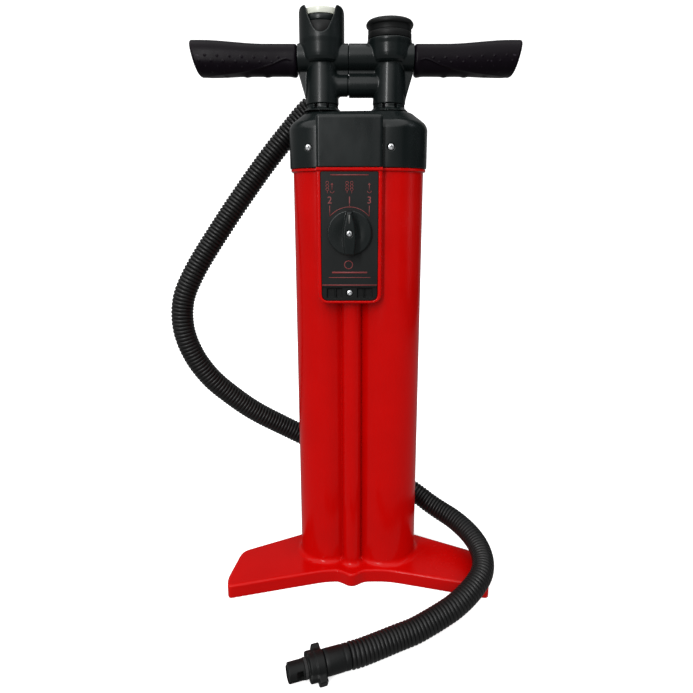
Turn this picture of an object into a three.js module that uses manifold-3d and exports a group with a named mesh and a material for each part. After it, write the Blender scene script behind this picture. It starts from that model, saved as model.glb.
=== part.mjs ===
// Twin-barrel floor pump with a T handle, a three-way selector and a corrugated hose.
// Millimetres, +Z up. The origin is on the floor, midway between the two rod axes.
import * as THREE from 'three';
import { mergeVertices } from 'three/addons/utils/BufferGeometryUtils.js';
import Module from 'manifold-3d';

const wasm = await Module();
wasm.setup();

// ---------------------------------------------------------------- driving dimensions
const GAP = 0.3; // clearance between pieces that touch
const ROUND = 32; // sides of the barrels and pistons
const ROD_X = 33; // the rod axes are at x = -ROD_X and x = +ROD_X, y = 0
const ROD_R = 8;
const ROD_BORE_R = 5.2;
const BARRELS = [
  { side: 'left', x: -ROD_X, outer: 30.4, bore: 27.2 },
  { side: 'right', x: ROD_X, outer: 35.8, bore: 32.6 },
];
const BODY_X = 2.7; // middle of the two barrels' outer walls
const BODY_TOP = 448;
const END_WALL = [9, 15]; // bottom wall of the barrels
const RIB = { x: -4.4, y: -25.8, r: 10.2, bore: 6, top: 330 }; // air channel between the barrels
const PANEL = { x: -6, halfWidth: 31.2, front: -46, bottom: 317.4 }; // selector housing
const FOOT_HEIGHT = 15.5;
const HEAD = { bottom: 448.3, shoulder: 489.5, roof: 502.4, slope: 17, wall: 3, left: 33.6, right: 38.9 };
const BUMP = { halfWidth: 31.2, front: -48.3, top: 495.4 };
const OUTLET = { x: -28, y: 40, boss: 11, riser: 9, bore: 8, bossTop: 493, bend: 532 };
const COLUMN = { r: 14.3, flare: 16.2, bottom: 510, waist: 545, top: 552 };
const WEB = { half: 4, bottom: 538.5, top: 545, tongue: [539.7, 540.8] }; // between bar and bridge
const BAR = { z: 553.8, r: 12.7, core: 9, split: -7, tenon: 11, tenonEnd: 0 };
const BRIDGE = { z: 528, socket: 11.25, spigot: 9.5 };
const TOWER = { r: 22, foot: 547.4, footR: 18.8, coneTop: 567, cup: 569, top: 596.8 };
const GRIP = { inner: 57, outer: 161.3, bottom: 535.9 };
const KNOB = { z: 387, r: 21.2, front: -65 };
const HOSE_R = 11.8;

// ---------------------------------------------------------------- solid helpers
function solidOf(geometry) {
  const bare = geometry.clone();
  bare.deleteAttribute('normal');
  bare.deleteAttribute('uv');
  const merged = mergeVertices(bare, 1e-4);
  const corners = merged.index.array;
  const place = merged.attributes.position;
  const [a, b, c] = [new THREE.Vector3(), new THREE.Vector3(), new THREE.Vector3()];
  const faces = [];
  let volume = 0;
  for (let i = 0; i < corners.length; i += 3) {
    const [p, q, r] = [corners[i], corners[i + 1], corners[i + 2]];
    if (p === q || q === r || r === p) continue;
    faces.push([p, q, r]);
    a.fromBufferAttribute(place, p);
    b.fromBufferAttribute(place, q);
    c.fromBufferAttribute(place, r);
    volume += a.dot(b.cross(c)) / 6;
  }
  const outward = volume < 0 ? faces.map(([p, q, r]) => [p, r, q]) : faces;
  return new wasm.Manifold(new wasm.Mesh({
    numProp: 3,
    vertProperties: new Float32Array(place.array),
    triVerts: new Uint32Array(outward.flat()),
  }));
}

function geometryOf(solid) {
  const mesh = solid.getMesh();
  const geometry = new THREE.BufferGeometry();
  geometry.setAttribute('position', new THREE.BufferAttribute(mesh.vertProperties, 3));
  geometry.setIndex(new THREE.BufferAttribute(mesh.triVerts, 1));
  return geometry;
}

function join(...shapes) {
  return geometryOf(shapes.map(solidOf).reduce((sum, shape) => sum.add(shape)));
}

function cut(shape, ...tools) {
  return geometryOf(tools.map(solidOf).reduce((rest, tool) => rest.subtract(tool), solidOf(shape)));
}

function common(first, second) {
  return geometryOf(solidOf(first).intersect(solidOf(second)));
}

function block([x0, x1], [y0, y1], [z0, z1]) {
  const box = new THREE.BoxGeometry(x1 - x0, y1 - y0, z1 - z0);
  return box.translate((x0 + x1) / 2, (y0 + y1) / 2, (z0 + z1) / 2);
}

// A cylinder or cone between two points.
function bar(from, to, radius, sides = 16, endRadius = radius) {
  const [a, b] = [new THREE.Vector3(...from), new THREE.Vector3(...to)];
  const along = b.clone().sub(a);
  const shape = new THREE.CylinderGeometry(endRadius, radius, along.length(), sides);
  const turn = new THREE.Quaternion().setFromUnitVectors(
    new THREE.Vector3(0, 1, 0),
    along.normalize(),
  );
  const middle = new THREE.Vector3(...from).add(b).multiplyScalar(0.5);
  return shape.applyQuaternion(turn).translate(middle.x, middle.y, middle.z);
}

function upright(x, y, [z0, z1], radius, sides = 16, topRadius = radius) {
  return bar([x, y, z0], [x, y, z1], radius, sides, topRadius);
}

// A turned shape about a vertical axis, from [radius, height] pairs.
function turned(profile, x = 0, y = 0, sides = 20) {
  const points = profile.map(([r, z]) => new THREE.Vector2(r, z));
  return new THREE.LatheGeometry(points, sides).rotateX(Math.PI / 2).translate(x, y, 0);
}

function ring(x, y, [z0, z1], inner, outer, sides = 20) {
  return turned([[inner, z0], [outer, z0], [outer, z1], [inner, z1], [inner, z0]], x, y, sides);
}

// The same turned shape, with its axis along any direction from a point.
function turnedAlong(profile, from, direction, sides = 16) {
  const turn = new THREE.Quaternion().setFromUnitVectors(
    new THREE.Vector3(0, 0, 1),
    new THREE.Vector3(...direction).normalize(),
  );
  return turned(profile, 0, 0, sides).applyQuaternion(turn).translate(...from);
}

function extruded(shape, z0, z1, curveSegments = 8) {
  const depth = z1 - z0;
  const solid = new THREE.ExtrudeGeometry(shape, { depth, bevelEnabled: false, curveSegments });
  return solid.translate(0, 0, z0);
}

// An outline drawn in x and z, extruded from y0 to y1.
function extrudedAlongY(shape, y0, y1, curveSegments = 4) {
  return extruded(shape, 0, y1 - y0, curveSegments).rotateX(Math.PI / 2).translate(0, y1, 0);
}

// A polygon whose corners [x, y, radius] are rounded.
function roundedOutline(corners) {
  const shape = new THREE.Shape();
  const point = ([x, y]) => new THREE.Vector2(x, y);
  corners.forEach((corner, i) => {
    const here = point(corner);
    const before = point(corners[(i + corners.length - 1) % corners.length]);
    const after = point(corners[(i + 1) % corners.length]);
    const reach = corner[2] ?? 0;
    const start = here.clone().add(before.sub(here).setLength(reach));
    const end = here.clone().add(after.sub(here).setLength(reach));
    if (i === 0) shape.moveTo(start.x, start.y);
    else shape.lineTo(start.x, start.y);
    if (reach > 0) shape.quadraticCurveTo(here.x, here.y, end.x, end.y);
  });
  shape.closePath();
  return shape;
}

// The outline round two circles at the rod axes, with straight sides.
function twinOutline(leftRadius, rightRadius) {
  const lean = Math.acos((leftRadius - rightRadius) / (2 * ROD_X));
  const shape = new THREE.Shape();
  shape.absarc(-ROD_X, 0, leftRadius, lean, 2 * Math.PI - lean, false);
  shape.absarc(ROD_X, 0, rightRadius, -lean, lean, false);
  shape.closePath();
  return shape;
}

// How far the same outline reaches from y = 0 at a given x.
function twinReach(x, leftRadius, rightRadius) {
  const lean = Math.acos((leftRadius - rightRadius) / (2 * ROD_X));
  const leftEnd = -ROD_X + leftRadius * Math.cos(lean);
  const rightEnd = ROD_X + rightRadius * Math.cos(lean);
  if (x < leftEnd) return Math.sqrt(leftRadius ** 2 - (x + ROD_X) ** 2);
  if (x > rightEnd) return Math.sqrt(rightRadius ** 2 - (x - ROD_X) ** 2);
  const share = (x - leftEnd) / (rightEnd - leftEnd);
  return THREE.MathUtils.lerp(leftRadius, rightRadius, share) * Math.sin(lean);
}

// ---------------------------------------------------------------- materials
function paint(color, roughness, metalness = 0) {
  return new THREE.MeshStandardMaterial({ color, roughness, metalness });
}

const redPlastic = paint(0xc80404, 0.25);
const blackPlastic = paint(0x1d2222, 0.35);
const mattePlastic = paint(0x161616, 0.7);
const labelPlastic = paint(0x23282a, 0.45);
const gripPlastic = paint(0x17141a, 0.6);
const hosePlastic = paint(0x1c1c1c, 0.6);
const rubber = paint(0x202020, 0.9);
const steel = paint(0xb9bcbf, 0.3, 1);
const aluminium = paint(0xc4c7ca, 0.35, 1);
const dialWhite = paint(0xe8e8e2, 0.6);
const needleRed = paint(0xc01818, 0.5);
const clear = paint(0xe6ebea, 0.05);

const pump = new THREE.Group();

// Adds one named piece; every piece is passed through as one clean closed solid.
function part(name, geometry, material) {
  const mesh = new THREE.Mesh(geometryOf(solidOf(geometry)), material);
  mesh.name = name;
  pump.add(mesh);
}

// ---------------------------------------------------------------- red body
function footSolid() {
  const half = [
    [34, -43.4, 12],
    [139.5, -71, 5],
    [142.5, -56, 7],
    [136, -8, 9],
    [67, 28, 14],
    [36, 46, 12],
  ];
  const right = half.map(([x, y, r]) => [BODY_X + x, y, r]);
  const left = half.map(([x, y, r]) => [BODY_X - x, y, r]).reverse();
  const nose = [[RIB.x - 14, -43.6, 6], [RIB.x, -53.6, 8], [RIB.x + 14, -43.6, 6]];
  const edge = 2;
  const plan = new THREE.ExtrudeGeometry(roundedOutline([...nose, ...right, ...left]), {
    depth: FOOT_HEIGHT - 2 * edge,
    bevelThickness: edge,
    bevelSize: edge,
    bevelOffset: -edge,
    bevelSegments: 1,
    curveSegments: 4,
  });
  return plan.translate(0, 0, edge);
}

// Hollows under each wing, with a rib left between them.
function footPockets() {
  const outlines = [
    [[102, -51, 3], [127, -57, 3], [127, -16, 3], [102, -2, 3]],
    [[72, -43, 3], [97, -49, 3], [97, 0.5, 3], [72, 13, 3]],
  ];
  return outlines.flatMap((outline) => [1, -1].map((side) => {
    const shape = roundedOutline(outline.map(([x, y, r]) => [BODY_X + side * x, y, r]));
    return extruded(shape, -1, FOOT_HEIGHT - 4.5, 2);
  }));
}

function panelOutline() {
  const [low, high] = [PANEL.x - PANEL.halfWidth, PANEL.x + PANEL.halfWidth];
  return roundedOutline([
    [low, PANEL.bottom, 10], [high, PANEL.bottom, 10], [high, BODY_TOP], [low, BODY_TOP],
  ]);
}

function barrelBody() {
  const barrels = BARRELS.flatMap(({ x, outer }) => [
    upright(x, 0, [1, BODY_TOP], outer, ROUND),
    upright(x, 0, [FOOT_HEIGHT - 1, FOOT_HEIGHT + 7], outer + 7, ROUND, outer - 1),
  ]);
  const panelWidth = [PANEL.x - PANEL.halfWidth, PANEL.x + PANEL.halfWidth];
  const flange = extruded(twinOutline(BARRELS[0].outer + 2.2, BARRELS[1].outer + 2.2), 445, BODY_TOP);
  const outside = join(
    ...barrels,
    footSolid(),
    flange,
    upright(RIB.x, RIB.y, [1, RIB.top], RIB.r),
    upright(RIB.x, RIB.y, [FOOT_HEIGHT - 1, FOOT_HEIGHT + 8], RIB.r + 6, 16, RIB.r - 1),
    block([RIB.x - 8, RIB.x + 8], [-20, 20], [1, BODY_TOP]),
    extrudedAlongY(panelOutline(), PANEL.front, -12),
    block([panelWidth[0] - 0.3, panelWidth[1] + 0.3], [PANEL.front - 1.5, -12], [445, BODY_TOP]),
    block([OUTLET.x - 15, OUTLET.x + 15], [10, OUTLET.y + 15], [440, BODY_TOP]),
  );
  const bores = BARRELS.map(({ x, bore }) => upright(x, 0, [END_WALL[1], BODY_TOP + 1], bore, ROUND));
  const valveSeats = BARRELS.flatMap(({ x }) => [
    upright(x, 0, [END_WALL[0] - 1, END_WALL[1] + 1], 2.5, 8),
    ...[0, 1, 2, 3].map((i) => {
      const angle = (i + 0.5) * Math.PI / 2;
      const [px, py] = [x + 7 * Math.cos(angle), 7 * Math.sin(angle)];
      return upright(px, py, [END_WALL[0] - 1, END_WALL[1] + 1], 2.4, 8);
    }),
  ]);
  const screwHoles = BASE_SCREWS.map(([x, y]) => upright(x, y, [END_WALL[0] - 1, 13.5], 1.8, 8));
  return cut(
    outside,
    ...bores,
    ...valveSeats,
    ...screwHoles,
    ...footPockets(),
    extruded(twinOutline(BARRELS[0].bore, BARRELS[1].bore), -1, END_WALL[0]),
    upright(RIB.x, RIB.y, [END_WALL[0] - 3, BODY_TOP + 1], RIB.bore),
    extrudedAlongY(cartridgeOutline(GAP), PANEL.front - 3, -37),
    bar([PANEL.x, -38, KNOB.z], [PANEL.x, -28, KNOB.z], 14, 20),
    bar([PANEL.x, -38, CARTRIDGE_SCREW_Z], [PANEL.x, -27, CARTRIDGE_SCREW_Z], 1.9, 8),
  );
}

// ---------------------------------------------------------------- base and foot valves
const BASE_SCREWS = [[-ROD_X, 18], [-ROD_X, -18], [ROD_X, 22], [ROD_X, -22]];
const BASE_COVER_TOP = 5.7;

function baseParts() {
  const [left, right] = BARRELS.map(({ bore }) => bore - GAP);
  const cover = extruded(twinOutline(left, right), 0, BASE_COVER_TOP);
  part('base_cover', cut(
    cover,
    ...BASE_SCREWS.map(([x, y]) => upright(x, y, [-1, 2.7], 3.6, 12)),
    ...BASE_SCREWS.map(([x, y]) => upright(x, y, [2, 7], 1.8, 8)),
  ), mattePlastic);
  const gasket = extruded(twinOutline(left, right), BASE_COVER_TOP + GAP, END_WALL[0] - GAP);
  part('base_gasket', cut(gasket, extruded(twinOutline(left - 6, right - 6), 5, 10)), rubber);
  BASE_SCREWS.forEach(([x, y], i) => {
    const screw = turned([[0, 0.6], [3.2, 0.6], [3.2, 2.4], [1.5, 2.4], [1.5, 13], [0, 13]], x, y, 8);
    part(`base_screw_${i + 1}`, screw, steel);
  });
  for (const { side, x } of BARRELS) {
    const seat = END_WALL[1] + GAP;
    const profile = [[0, 10], [2, 10], [2, seat], [11, seat], [10.5, seat + 1.2], [0, seat + 1.7]];
    part(`foot_valve_${side}`, turned(profile, x, 0, 16), rubber);
  }
}

// ---------------------------------------------------------------- cylinder head under the cover
const VALVE_Y = 20;
const HEAD_PLATE = [449.6, 457];
const SPIGOT_BOTTOM = 436;
const SEAL_BOTTOM = 488;
const GUIDE_TOP = 497;

function cylinderHead() {
  const [left, right] = BARRELS.map(({ outer }) => outer - 0.3);
  const outlet = [OUTLET.x, OUTLET.y];
  const bosses = BARRELS.flatMap(({ x, bore }) => [
    upright(x, 0, [SPIGOT_BOTTOM, HEAD_PLATE[1] - 1], bore - 0.4, ROUND),
    upright(x, 0, [HEAD_PLATE[0], GUIDE_TOP], 12.5),
  ]);
  const outside = join(
    extruded(twinOutline(left, right), ...HEAD_PLATE),
    block([OUTLET.x - 11, OUTLET.x + 11], [15, OUTLET.y + 8], HEAD_PLATE),
    upright(...outlet, [HEAD_PLATE[0], OUTLET.bossTop], OUTLET.boss),
    ...bosses,
  );
  const holes = BARRELS.flatMap(({ x }) => [
    upright(x, 0, [430, 500], ROD_R + 0.4),
    upright(x, 0, [SEAL_BOTTOM, 500], 10.9),
    upright(x, VALVE_Y, [430, 452], 3.2, 8),
    upright(x, VALVE_Y, [451.2, 455.5], 6.5, 12),
    upright(x, -VALVE_Y, [430, 460], 3.2, 8),
  ]);
  const screwHoles = HEAD_SCREWS.map(({ x, y, out }) => (
    bar([x, y - out * 1, HEAD_SCREW_Z], [x, y - out * 12, HEAD_SCREW_Z], 1.9, 8)
  ));
  const lugRange = [HEAD_PLATE[1] - 1, HEAD_SCREW_Z + 5];
  const coverInside = extruded(
    twinOutline(HEAD.left - HEAD.wall - 0.4, HEAD.right - HEAD.wall - 0.4),
    ...lugRange,
  );
  const lugs = HEAD_SCREWS.map(({ x, y, out }) => {
    const reach = [y, y - out * 14].sort((a, b) => a - b);
    return common(block([x - 4, x + 4], reach, lugRange), coverInside);
  });
  const manifold = [
    block([-ROD_X, ROD_X], [VALVE_Y - 2.5, VALVE_Y + 2.5], [451.2, 454.5]),
    block([OUTLET.x - 3, OUTLET.x + 3], [VALVE_Y, OUTLET.y], [451.2, 454.5]),
    upright(...outlet, [453, 500], OUTLET.bore),
  ];
  return cut(join(outside, ...lugs), ...holes, ...screwHoles, ...manifold);
}

function headInternals() {
  const [left, right] = BARRELS.map(({ outer }) => outer - 0.3);
  const gasket = extruded(twinOutline(left, right), BODY_TOP + GAP, HEAD_PLATE[0] - GAP);
  part('head_gasket', cut(
    gasket,
    ...BARRELS.map(({ x, bore }) => upright(x, 0, [440, 460], bore, ROUND)),
    upright(RIB.x, RIB.y, [440, 460], RIB.bore - 1, 12),
  ), rubber);
  part('cylinder_head', cylinderHead(), mattePlastic);
  for (const { side, x } of BARRELS) {
    part(`rod_seal_${side}`, ring(x, 0, [SEAL_BOTTOM + GAP, 493], ROD_R + GAP, 10.4, 16), rubber);
    const intake = [
      [0, 433.4], [5.6, 433.9], [6, 435.6], [1.5, 435.6], [1.5, 457.4], [4.2, 457.4], [0, 460],
    ];
    part(`intake_valve_${side}`, turned(intake, x, -VALVE_Y, 12), rubber);
    const flap = [[0, 446], [1.3, 446], [1.3, 451.5], [5.4, 451.5], [5, 452.6], [0, 453]];
    part(`outlet_valve_${side}`, turned(flap, x, VALVE_Y, 12), rubber);
    part(`gland_nut_${side}`, glandNut(x), blackPlastic);
  }
}

// Castellated nut that closes the rod guide; air is drawn in between its teeth.
function glandNut(x) {
  const crown = COLUMN.bottom - 0.5;
  const flangeTop = HEAD.roof + 2.2;
  const body = turned([
    [8.5, GUIDE_TOP + GAP], [11.6, GUIDE_TOP + GAP], [11.6, HEAD.roof + GAP], [19, HEAD.roof + GAP],
    [15.6, flangeTop + 1.4], [15.6, crown], [10.5, crown], [10.5, flangeTop], [8.5, flangeTop],
    [8.5, GUIDE_TOP + GAP],
  ], x, 0, 24);
  const slots = [0, 1, 2, 3].map((i) => {
    const slot = block([-20, 20], [-1.5, 1.5], [flangeTop, crown + 1]);
    return slot.rotateZ((i + 0.5) * Math.PI / 4).translate(x, 0, 0);
  });
  return cut(body, ...slots);
}

// ---------------------------------------------------------------- head cover
const HEAD_SCREW_Z = 467;
const HEAD_SCREWS = [
  { name: 'front_left', x: PANEL.x - 39.5, out: -1 },
  { name: 'front_right', x: PANEL.x + 39.5, out: -1 },
  { name: 'rear_left', x: 5, out: 1 },
  { name: 'rear_right', x: 45, out: 1 },
].map((screw) => ({ ...screw, y: screw.out * twinReach(screw.x, HEAD.left, HEAD.right) }));

function domed(left, right, roof) {
  const slope = roof - HEAD.shoulder;
  const depth = HEAD.shoulder - 400;
  return new THREE.ExtrudeGeometry(twinOutline(left, right), {
    depth,
    bevelThickness: slope,
    bevelSize: HEAD.slope,
    bevelOffset: -HEAD.slope,
    bevelSegments: 1,
    curveSegments: 8,
  }).translate(0, 0, 400);
}

function bumpOutline(inset) {
  const [low, high] = [400, BUMP.top - inset];
  const half = BUMP.halfWidth - inset;
  return roundedOutline([
    [PANEL.x - half, low], [PANEL.x + half, low], [PANEL.x + half, high, 3.5], [PANEL.x - half, high, 3.5],
  ]);
}

function headCover() {
  const { wall } = HEAD;
  const outside = join(
    domed(HEAD.left, HEAD.right, HEAD.roof),
    extrudedAlongY(bumpOutline(0), BUMP.front, -20),
    block([OUTLET.x - 15, OUTLET.x + 15], [10, OUTLET.y + 15], [400, 498]),
  );
  const inside = join(
    domed(HEAD.left - wall, HEAD.right - wall, HEAD.roof - wall),
    extrudedAlongY(bumpOutline(wall), BUMP.front + wall, -15),
    block([OUTLET.x - 12, OUTLET.x + 12], [5, OUTLET.y + 12], [399, 495]),
  );
  const screwSeats = HEAD_SCREWS.flatMap(({ x, y, out }) => [
    bar([x, y + out * 5, HEAD_SCREW_Z], [x, y - out * 1.9, HEAD_SCREW_Z], 3.4, 12),
    bar([x, y + out * 5, HEAD_SCREW_Z], [x, y - out * 6, HEAD_SCREW_Z], 2, 8),
  ]);
  return cut(
    outside,
    inside,
    block([-120, 120], [-120, 120], [300, HEAD.bottom]),
    ...BARRELS.map(({ x }) => upright(x, 0, [480, 520], 13.4)),
    upright(OUTLET.x, OUTLET.y, [480, 520], OUTLET.riser + 0.5),
    ...screwSeats,
  );
}

function headParts() {
  part('head_cover', headCover(), blackPlastic);
  for (const { name, x, y, out } of HEAD_SCREWS) {
    const profile = [[0, 0], [1.5, 0], [1.5, 9], [2.9, 9], [2.9, 10.8], [0, 11.2]];
    const inner = y - out * (1.6 + 9);
    const screw = turnedAlong(profile, [x, inner, HEAD_SCREW_Z], [0, out, 0], 8);
    part(`head_screw_${name}`, screw, steel);
  }
}

// ---------------------------------------------------------------- selector
const CARTRIDGE_TOP = 444;
const CHIN = [320.3, 334.8]; // the cartridge's lower edge, below the label plate
const CARTRIDGE_SCREW_Z = 327.8;

function cartridgeOutline(outset) {
  const half = 27.4 + outset;
  return roundedOutline([
    [PANEL.x - half, CHIN[0] - outset, 7], [PANEL.x + half, CHIN[0] - outset, 7],
    [PANEL.x + half, CARTRIDGE_TOP + outset, 2], [PANEL.x - half, CARTRIDGE_TOP + outset, 2],
  ]);
}

function selectorParts() {
  const cartridge = join(
    extrudedAlongY(cartridgeOutline(0), -44.9, -37.3),
    block([PANEL.x - 27.4, PANEL.x + 27.4], [PANEL.front, -44], [CHIN[1] - 1.4, CHIN[1]]),
    bar([PANEL.x, -38, KNOB.z], [PANEL.x, -28.3, KNOB.z], 13.6, 20),
  );
  part('selector_cartridge', cut(
    cartridge,
    bar([PANEL.x, -50, KNOB.z], [PANEL.x, -20, KNOB.z], 10.8, 20),
    bar([PANEL.x, -50, CARTRIDGE_SCREW_Z], [PANEL.x, -42, CARTRIDGE_SCREW_Z], 3.5, 12),
    bar([PANEL.x, -50, CARTRIDGE_SCREW_Z], [PANEL.x, -30, CARTRIDGE_SCREW_Z], 1.9, 8),
  ), mattePlastic);
  const plate = extrudedAlongY(roundedOutline([
    [PANEL.x - 27.2, CHIN[1] + GAP, 1], [PANEL.x + 27.2, CHIN[1] + GAP, 1],
    [PANEL.x + 27.2, CARTRIDGE_TOP, 1.5], [PANEL.x - 27.2, CARTRIDGE_TOP, 1.5],
  ]), PANEL.front, -45.2);
  part('selector_plate', cut(
    plate,
    bar([PANEL.x, -50, KNOB.z], [PANEL.x, -40, KNOB.z], 8, 20),
  ), labelPlastic);
  const screw = [[0, 0], [1.5, 0], [1.5, 11], [2.8, 11], [2.8, 12.8], [0, 13.2]];
  const screwFoot = [PANEL.x, -31.4, CARTRIDGE_SCREW_Z];
  part('cartridge_screw', turnedAlong(screw, screwFoot, [0, -1, 0], 8), steel);
}

// Spindle-shaped finger bar: narrow ends, full in the middle.
function fingerBarOutline() {
  const shape = new THREE.Shape();
  shape.moveTo(PANEL.x - 3, KNOB.z + 19.5);
  shape.quadraticCurveTo(PANEL.x, KNOB.z + 21, PANEL.x + 3, KNOB.z + 19.5);
  shape.quadraticCurveTo(PANEL.x + 7.6, KNOB.z + 8, PANEL.x + 7.2, KNOB.z - 4);
  shape.quadraticCurveTo(PANEL.x + 6.5, KNOB.z - 15, PANEL.x + 4, KNOB.z - 19.5);
  shape.quadraticCurveTo(PANEL.x, KNOB.z - 21, PANEL.x - 4, KNOB.z - 19.5);
  shape.quadraticCurveTo(PANEL.x - 6.5, KNOB.z - 15, PANEL.x - 7.2, KNOB.z - 4);
  shape.quadraticCurveTo(PANEL.x - 7.6, KNOB.z + 8, PANEL.x - 3, KNOB.z + 19.5);
  return shape;
}

function knobParts() {
  const at = (y) => [PANEL.x, y, KNOB.z];
  const knob = join(
    bar(at(PANEL.front - GAP), at(-51), KNOB.r, 28, KNOB.r - 0.8),
    extrudedAlongY(fingerBarOutline(), KNOB.front, -50, 3),
    bar(at(-48), at(-43.5), 7.6),
  );
  part('selector_knob', cut(
    knob,
    bar(at(-70), at(KNOB.front + 3.5), 3.4, 12),
    bar(at(-70), at(-40), 1.8, 8),
  ), blackPlastic);
  const rotor = bar(at(-43.2), at(-29), 10.4, 20);
  part('selector_rotor', cut(
    rotor,
    block([PANEL.x - 4, PANEL.x + 4], [-40, -28], [KNOB.z - 12, KNOB.z]),
    bar(at(-50), at(-33), 1.8, 8),
  ), mattePlastic);
  const profile = [[0, 0], [1.4, 0], [1.4, 25], [2.9, 25], [2.9, 26.8], [0, 27.2]];
  part('knob_screw', turnedAlong(profile, at(KNOB.front + 3.2 + 25), [0, -1, 0], 8), steel);
}

// ---------------------------------------------------------------- hose outlet
const OUT_DIRECTION = new THREE.Vector3(-0.74, 0.05, -0.67).normalize();
const OUTLET_LENGTH = 24.7; // from the bend to the face that the hose meets

function alongOutlet(distance) {
  const bend = new THREE.Vector3(OUTLET.x, OUTLET.y, OUTLET.bend);
  return bend.addScaledVector(OUT_DIRECTION, distance).toArray();
}

// The elbow rises out of the head behind the left column and points down to the left.
function outletParts() {
  const { x, y, riser, bore, bossTop, bend } = OUTLET;
  const elbow = join(
    upright(x, y, [bossTop + GAP, bend], riser),
    new THREE.SphereGeometry(riser, 16, 8).translate(x, y, bend),
    upright(x, y, [482, bossTop + 1], bore - 0.4),
    bar([x, y, bend], alongOutlet(OUTLET_LENGTH - 1), 8),
    bar(alongOutlet(OUTLET_LENGTH - 2.4), alongOutlet(OUTLET_LENGTH), 11.6),
  );
  part('hose_elbow', cut(
    elbow,
    ring(x, y, [485.7, 488.8], bore - 2, bore + 3, 16),
    upright(x, y, [470, bend], 4.8, 12),
    bar([x, y, bend], alongOutlet(OUTLET_LENGTH + 5), 5.4, 12),
  ), blackPlastic);
  part('elbow_oring', ring(x, y, [486, 488.5], bore - 1.7, bore - 0.35, 16), rubber);
  part('outlet_nut', ring(x, y, [498 + GAP, 504], riser + GAP, 13, 16), blackPlastic);
}

// ---------------------------------------------------------------- hose
// The hose leaves the outlet behind the left rod, hangs in a wide loop on the left,
// passes behind the barrels, comes forward over the right wing and lies on the floor.
const HOSE_END = new THREE.Vector3(-6, -160, 12);
const END_DIRECTION = new THREE.Vector3(-0.94, -0.34, 0).normalize();

function pastHoseEnd(distance) {
  return HOSE_END.clone().addScaledVector(END_DIRECTION, distance).toArray();
}

const HOSE_ROUTE = [
  alongOutlet(OUTLET_LENGTH + 2 * GAP),
  alongOutlet(OUTLET_LENGTH + 10),
  [-66.5, 41.5, 494.5],
  [-90, 39, 466.5],
  [-109.5, 35.5, 441],
  [-145.5, 26, 389.5],
  [-177.5, 16, 338],
  [-189, 13, 310],
  [-190.5, 12.5, 278.5],
  [-182, 16, 247],
  [-166, 23, 218],
  [-145, 33, 193],
  [-121, 43, 170],
  [-79, 55, 141],
  [0, 59, 97.5],
  [40, 60, 76],
  [62, 57.5, 64.5],
  [80, 48, 55.5],
  [92, 39.5, 49.5],
  [104, 30.5, 45],
  [116, 19.5, 42],
  [126, 7, 39],
  [134, -8, 36.5],
  [139, -23.5, 34],
  [140.5, -39.5, 32],
  [138.8, -54.5, 30],
  [133.5, -69, 28.3],
  [123, -84, 25.7],
  [110.5, -97, 22.8],
  [97, -108, 20],
  [83, -116.5, 17.3],
  [69, -124.5, 15],
  [55, -131.8, 13],
  [40.5, -138.2, 12.2],
  [26, -145.5, 12],
  pastHoseEnd(-10),
  pastHoseEnd(0),
].map((point) => new THREE.Vector3(...point));

function hoseSolid() {
  const section = new THREE.Shape();
  section.absarc(0, 0, HOSE_R, 0, 2 * Math.PI, false);
  const route = new THREE.CatmullRomCurve3(HOSE_ROUTE, false, 'centripetal');
  return new THREE.ExtrudeGeometry(section, { steps: 40, extrudePath: route, curveSegments: 5 });
}

// ---------------------------------------------------------------- valve adapter
const CUFF_LENGTH = 24;
const ADAPTER_START = CUFF_LENGTH + 2 * GAP;
const WING = { reach: 17.6, width: 9, thick: 8, tilt: -22 };

function adapterParts() {
  const direction = END_DIRECTION.toArray();
  const cuff = [[7, 2 * GAP], [11.4, 2 * GAP], [11.4, CUFF_LENGTH], [7, CUFF_LENGTH], [7, 2 * GAP]];
  part('hose_cuff', turnedAlong(cuff, HOSE_END.toArray(), direction, 16), mattePlastic);

  const body = turned([
    [6, 0], [12, 0], [12, 8], [11.3, 8], [11.3, 14], [8.8, 14], [8.8, 33], [6, 33], [6, 0],
  ], 0, 0, 16);
  const wings = cut(
    block([-WING.width / 2, WING.width / 2], [-WING.reach, WING.reach], [0, WING.thick]),
    upright(0, 0, [-1, 20], 8),
  );
  const hooks = [0, 1].flatMap((i) => [
    block([-2.2, 4.6], [4, 12], [22, 34]).rotateZ(i * Math.PI),
    block([-7, 4.6], [3, 12], [20, 26]).rotateZ(i * Math.PI),
  ]);
  const grooves = ring(0, 0, [15.5, 18.5], 7.7, 11, 16);
  const adapter = cut(join(body, wings), ...hooks, grooves);
  const gasket = ring(0, 0, [15.8, 18.2], 8.0, 9.1, 16);

  // The adapter's own axes: z along the hose's end, y along its wings.
  const wingTilt = THREE.MathUtils.degToRad(WING.tilt);
  const side = new THREE.Vector3(0, 0, 1).cross(END_DIRECTION).normalize();
  const wingAxis = side.applyAxisAngle(END_DIRECTION, wingTilt);
  const axes = new THREE.Matrix4().makeBasis(
    wingAxis.clone().cross(END_DIRECTION),
    wingAxis,
    END_DIRECTION,
  ).setPosition(...pastHoseEnd(ADAPTER_START));
  part('valve_adapter', adapter.applyMatrix4(axes), mattePlastic);
  part('adapter_gasket', gasket.applyMatrix4(axes), rubber);
}

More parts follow.
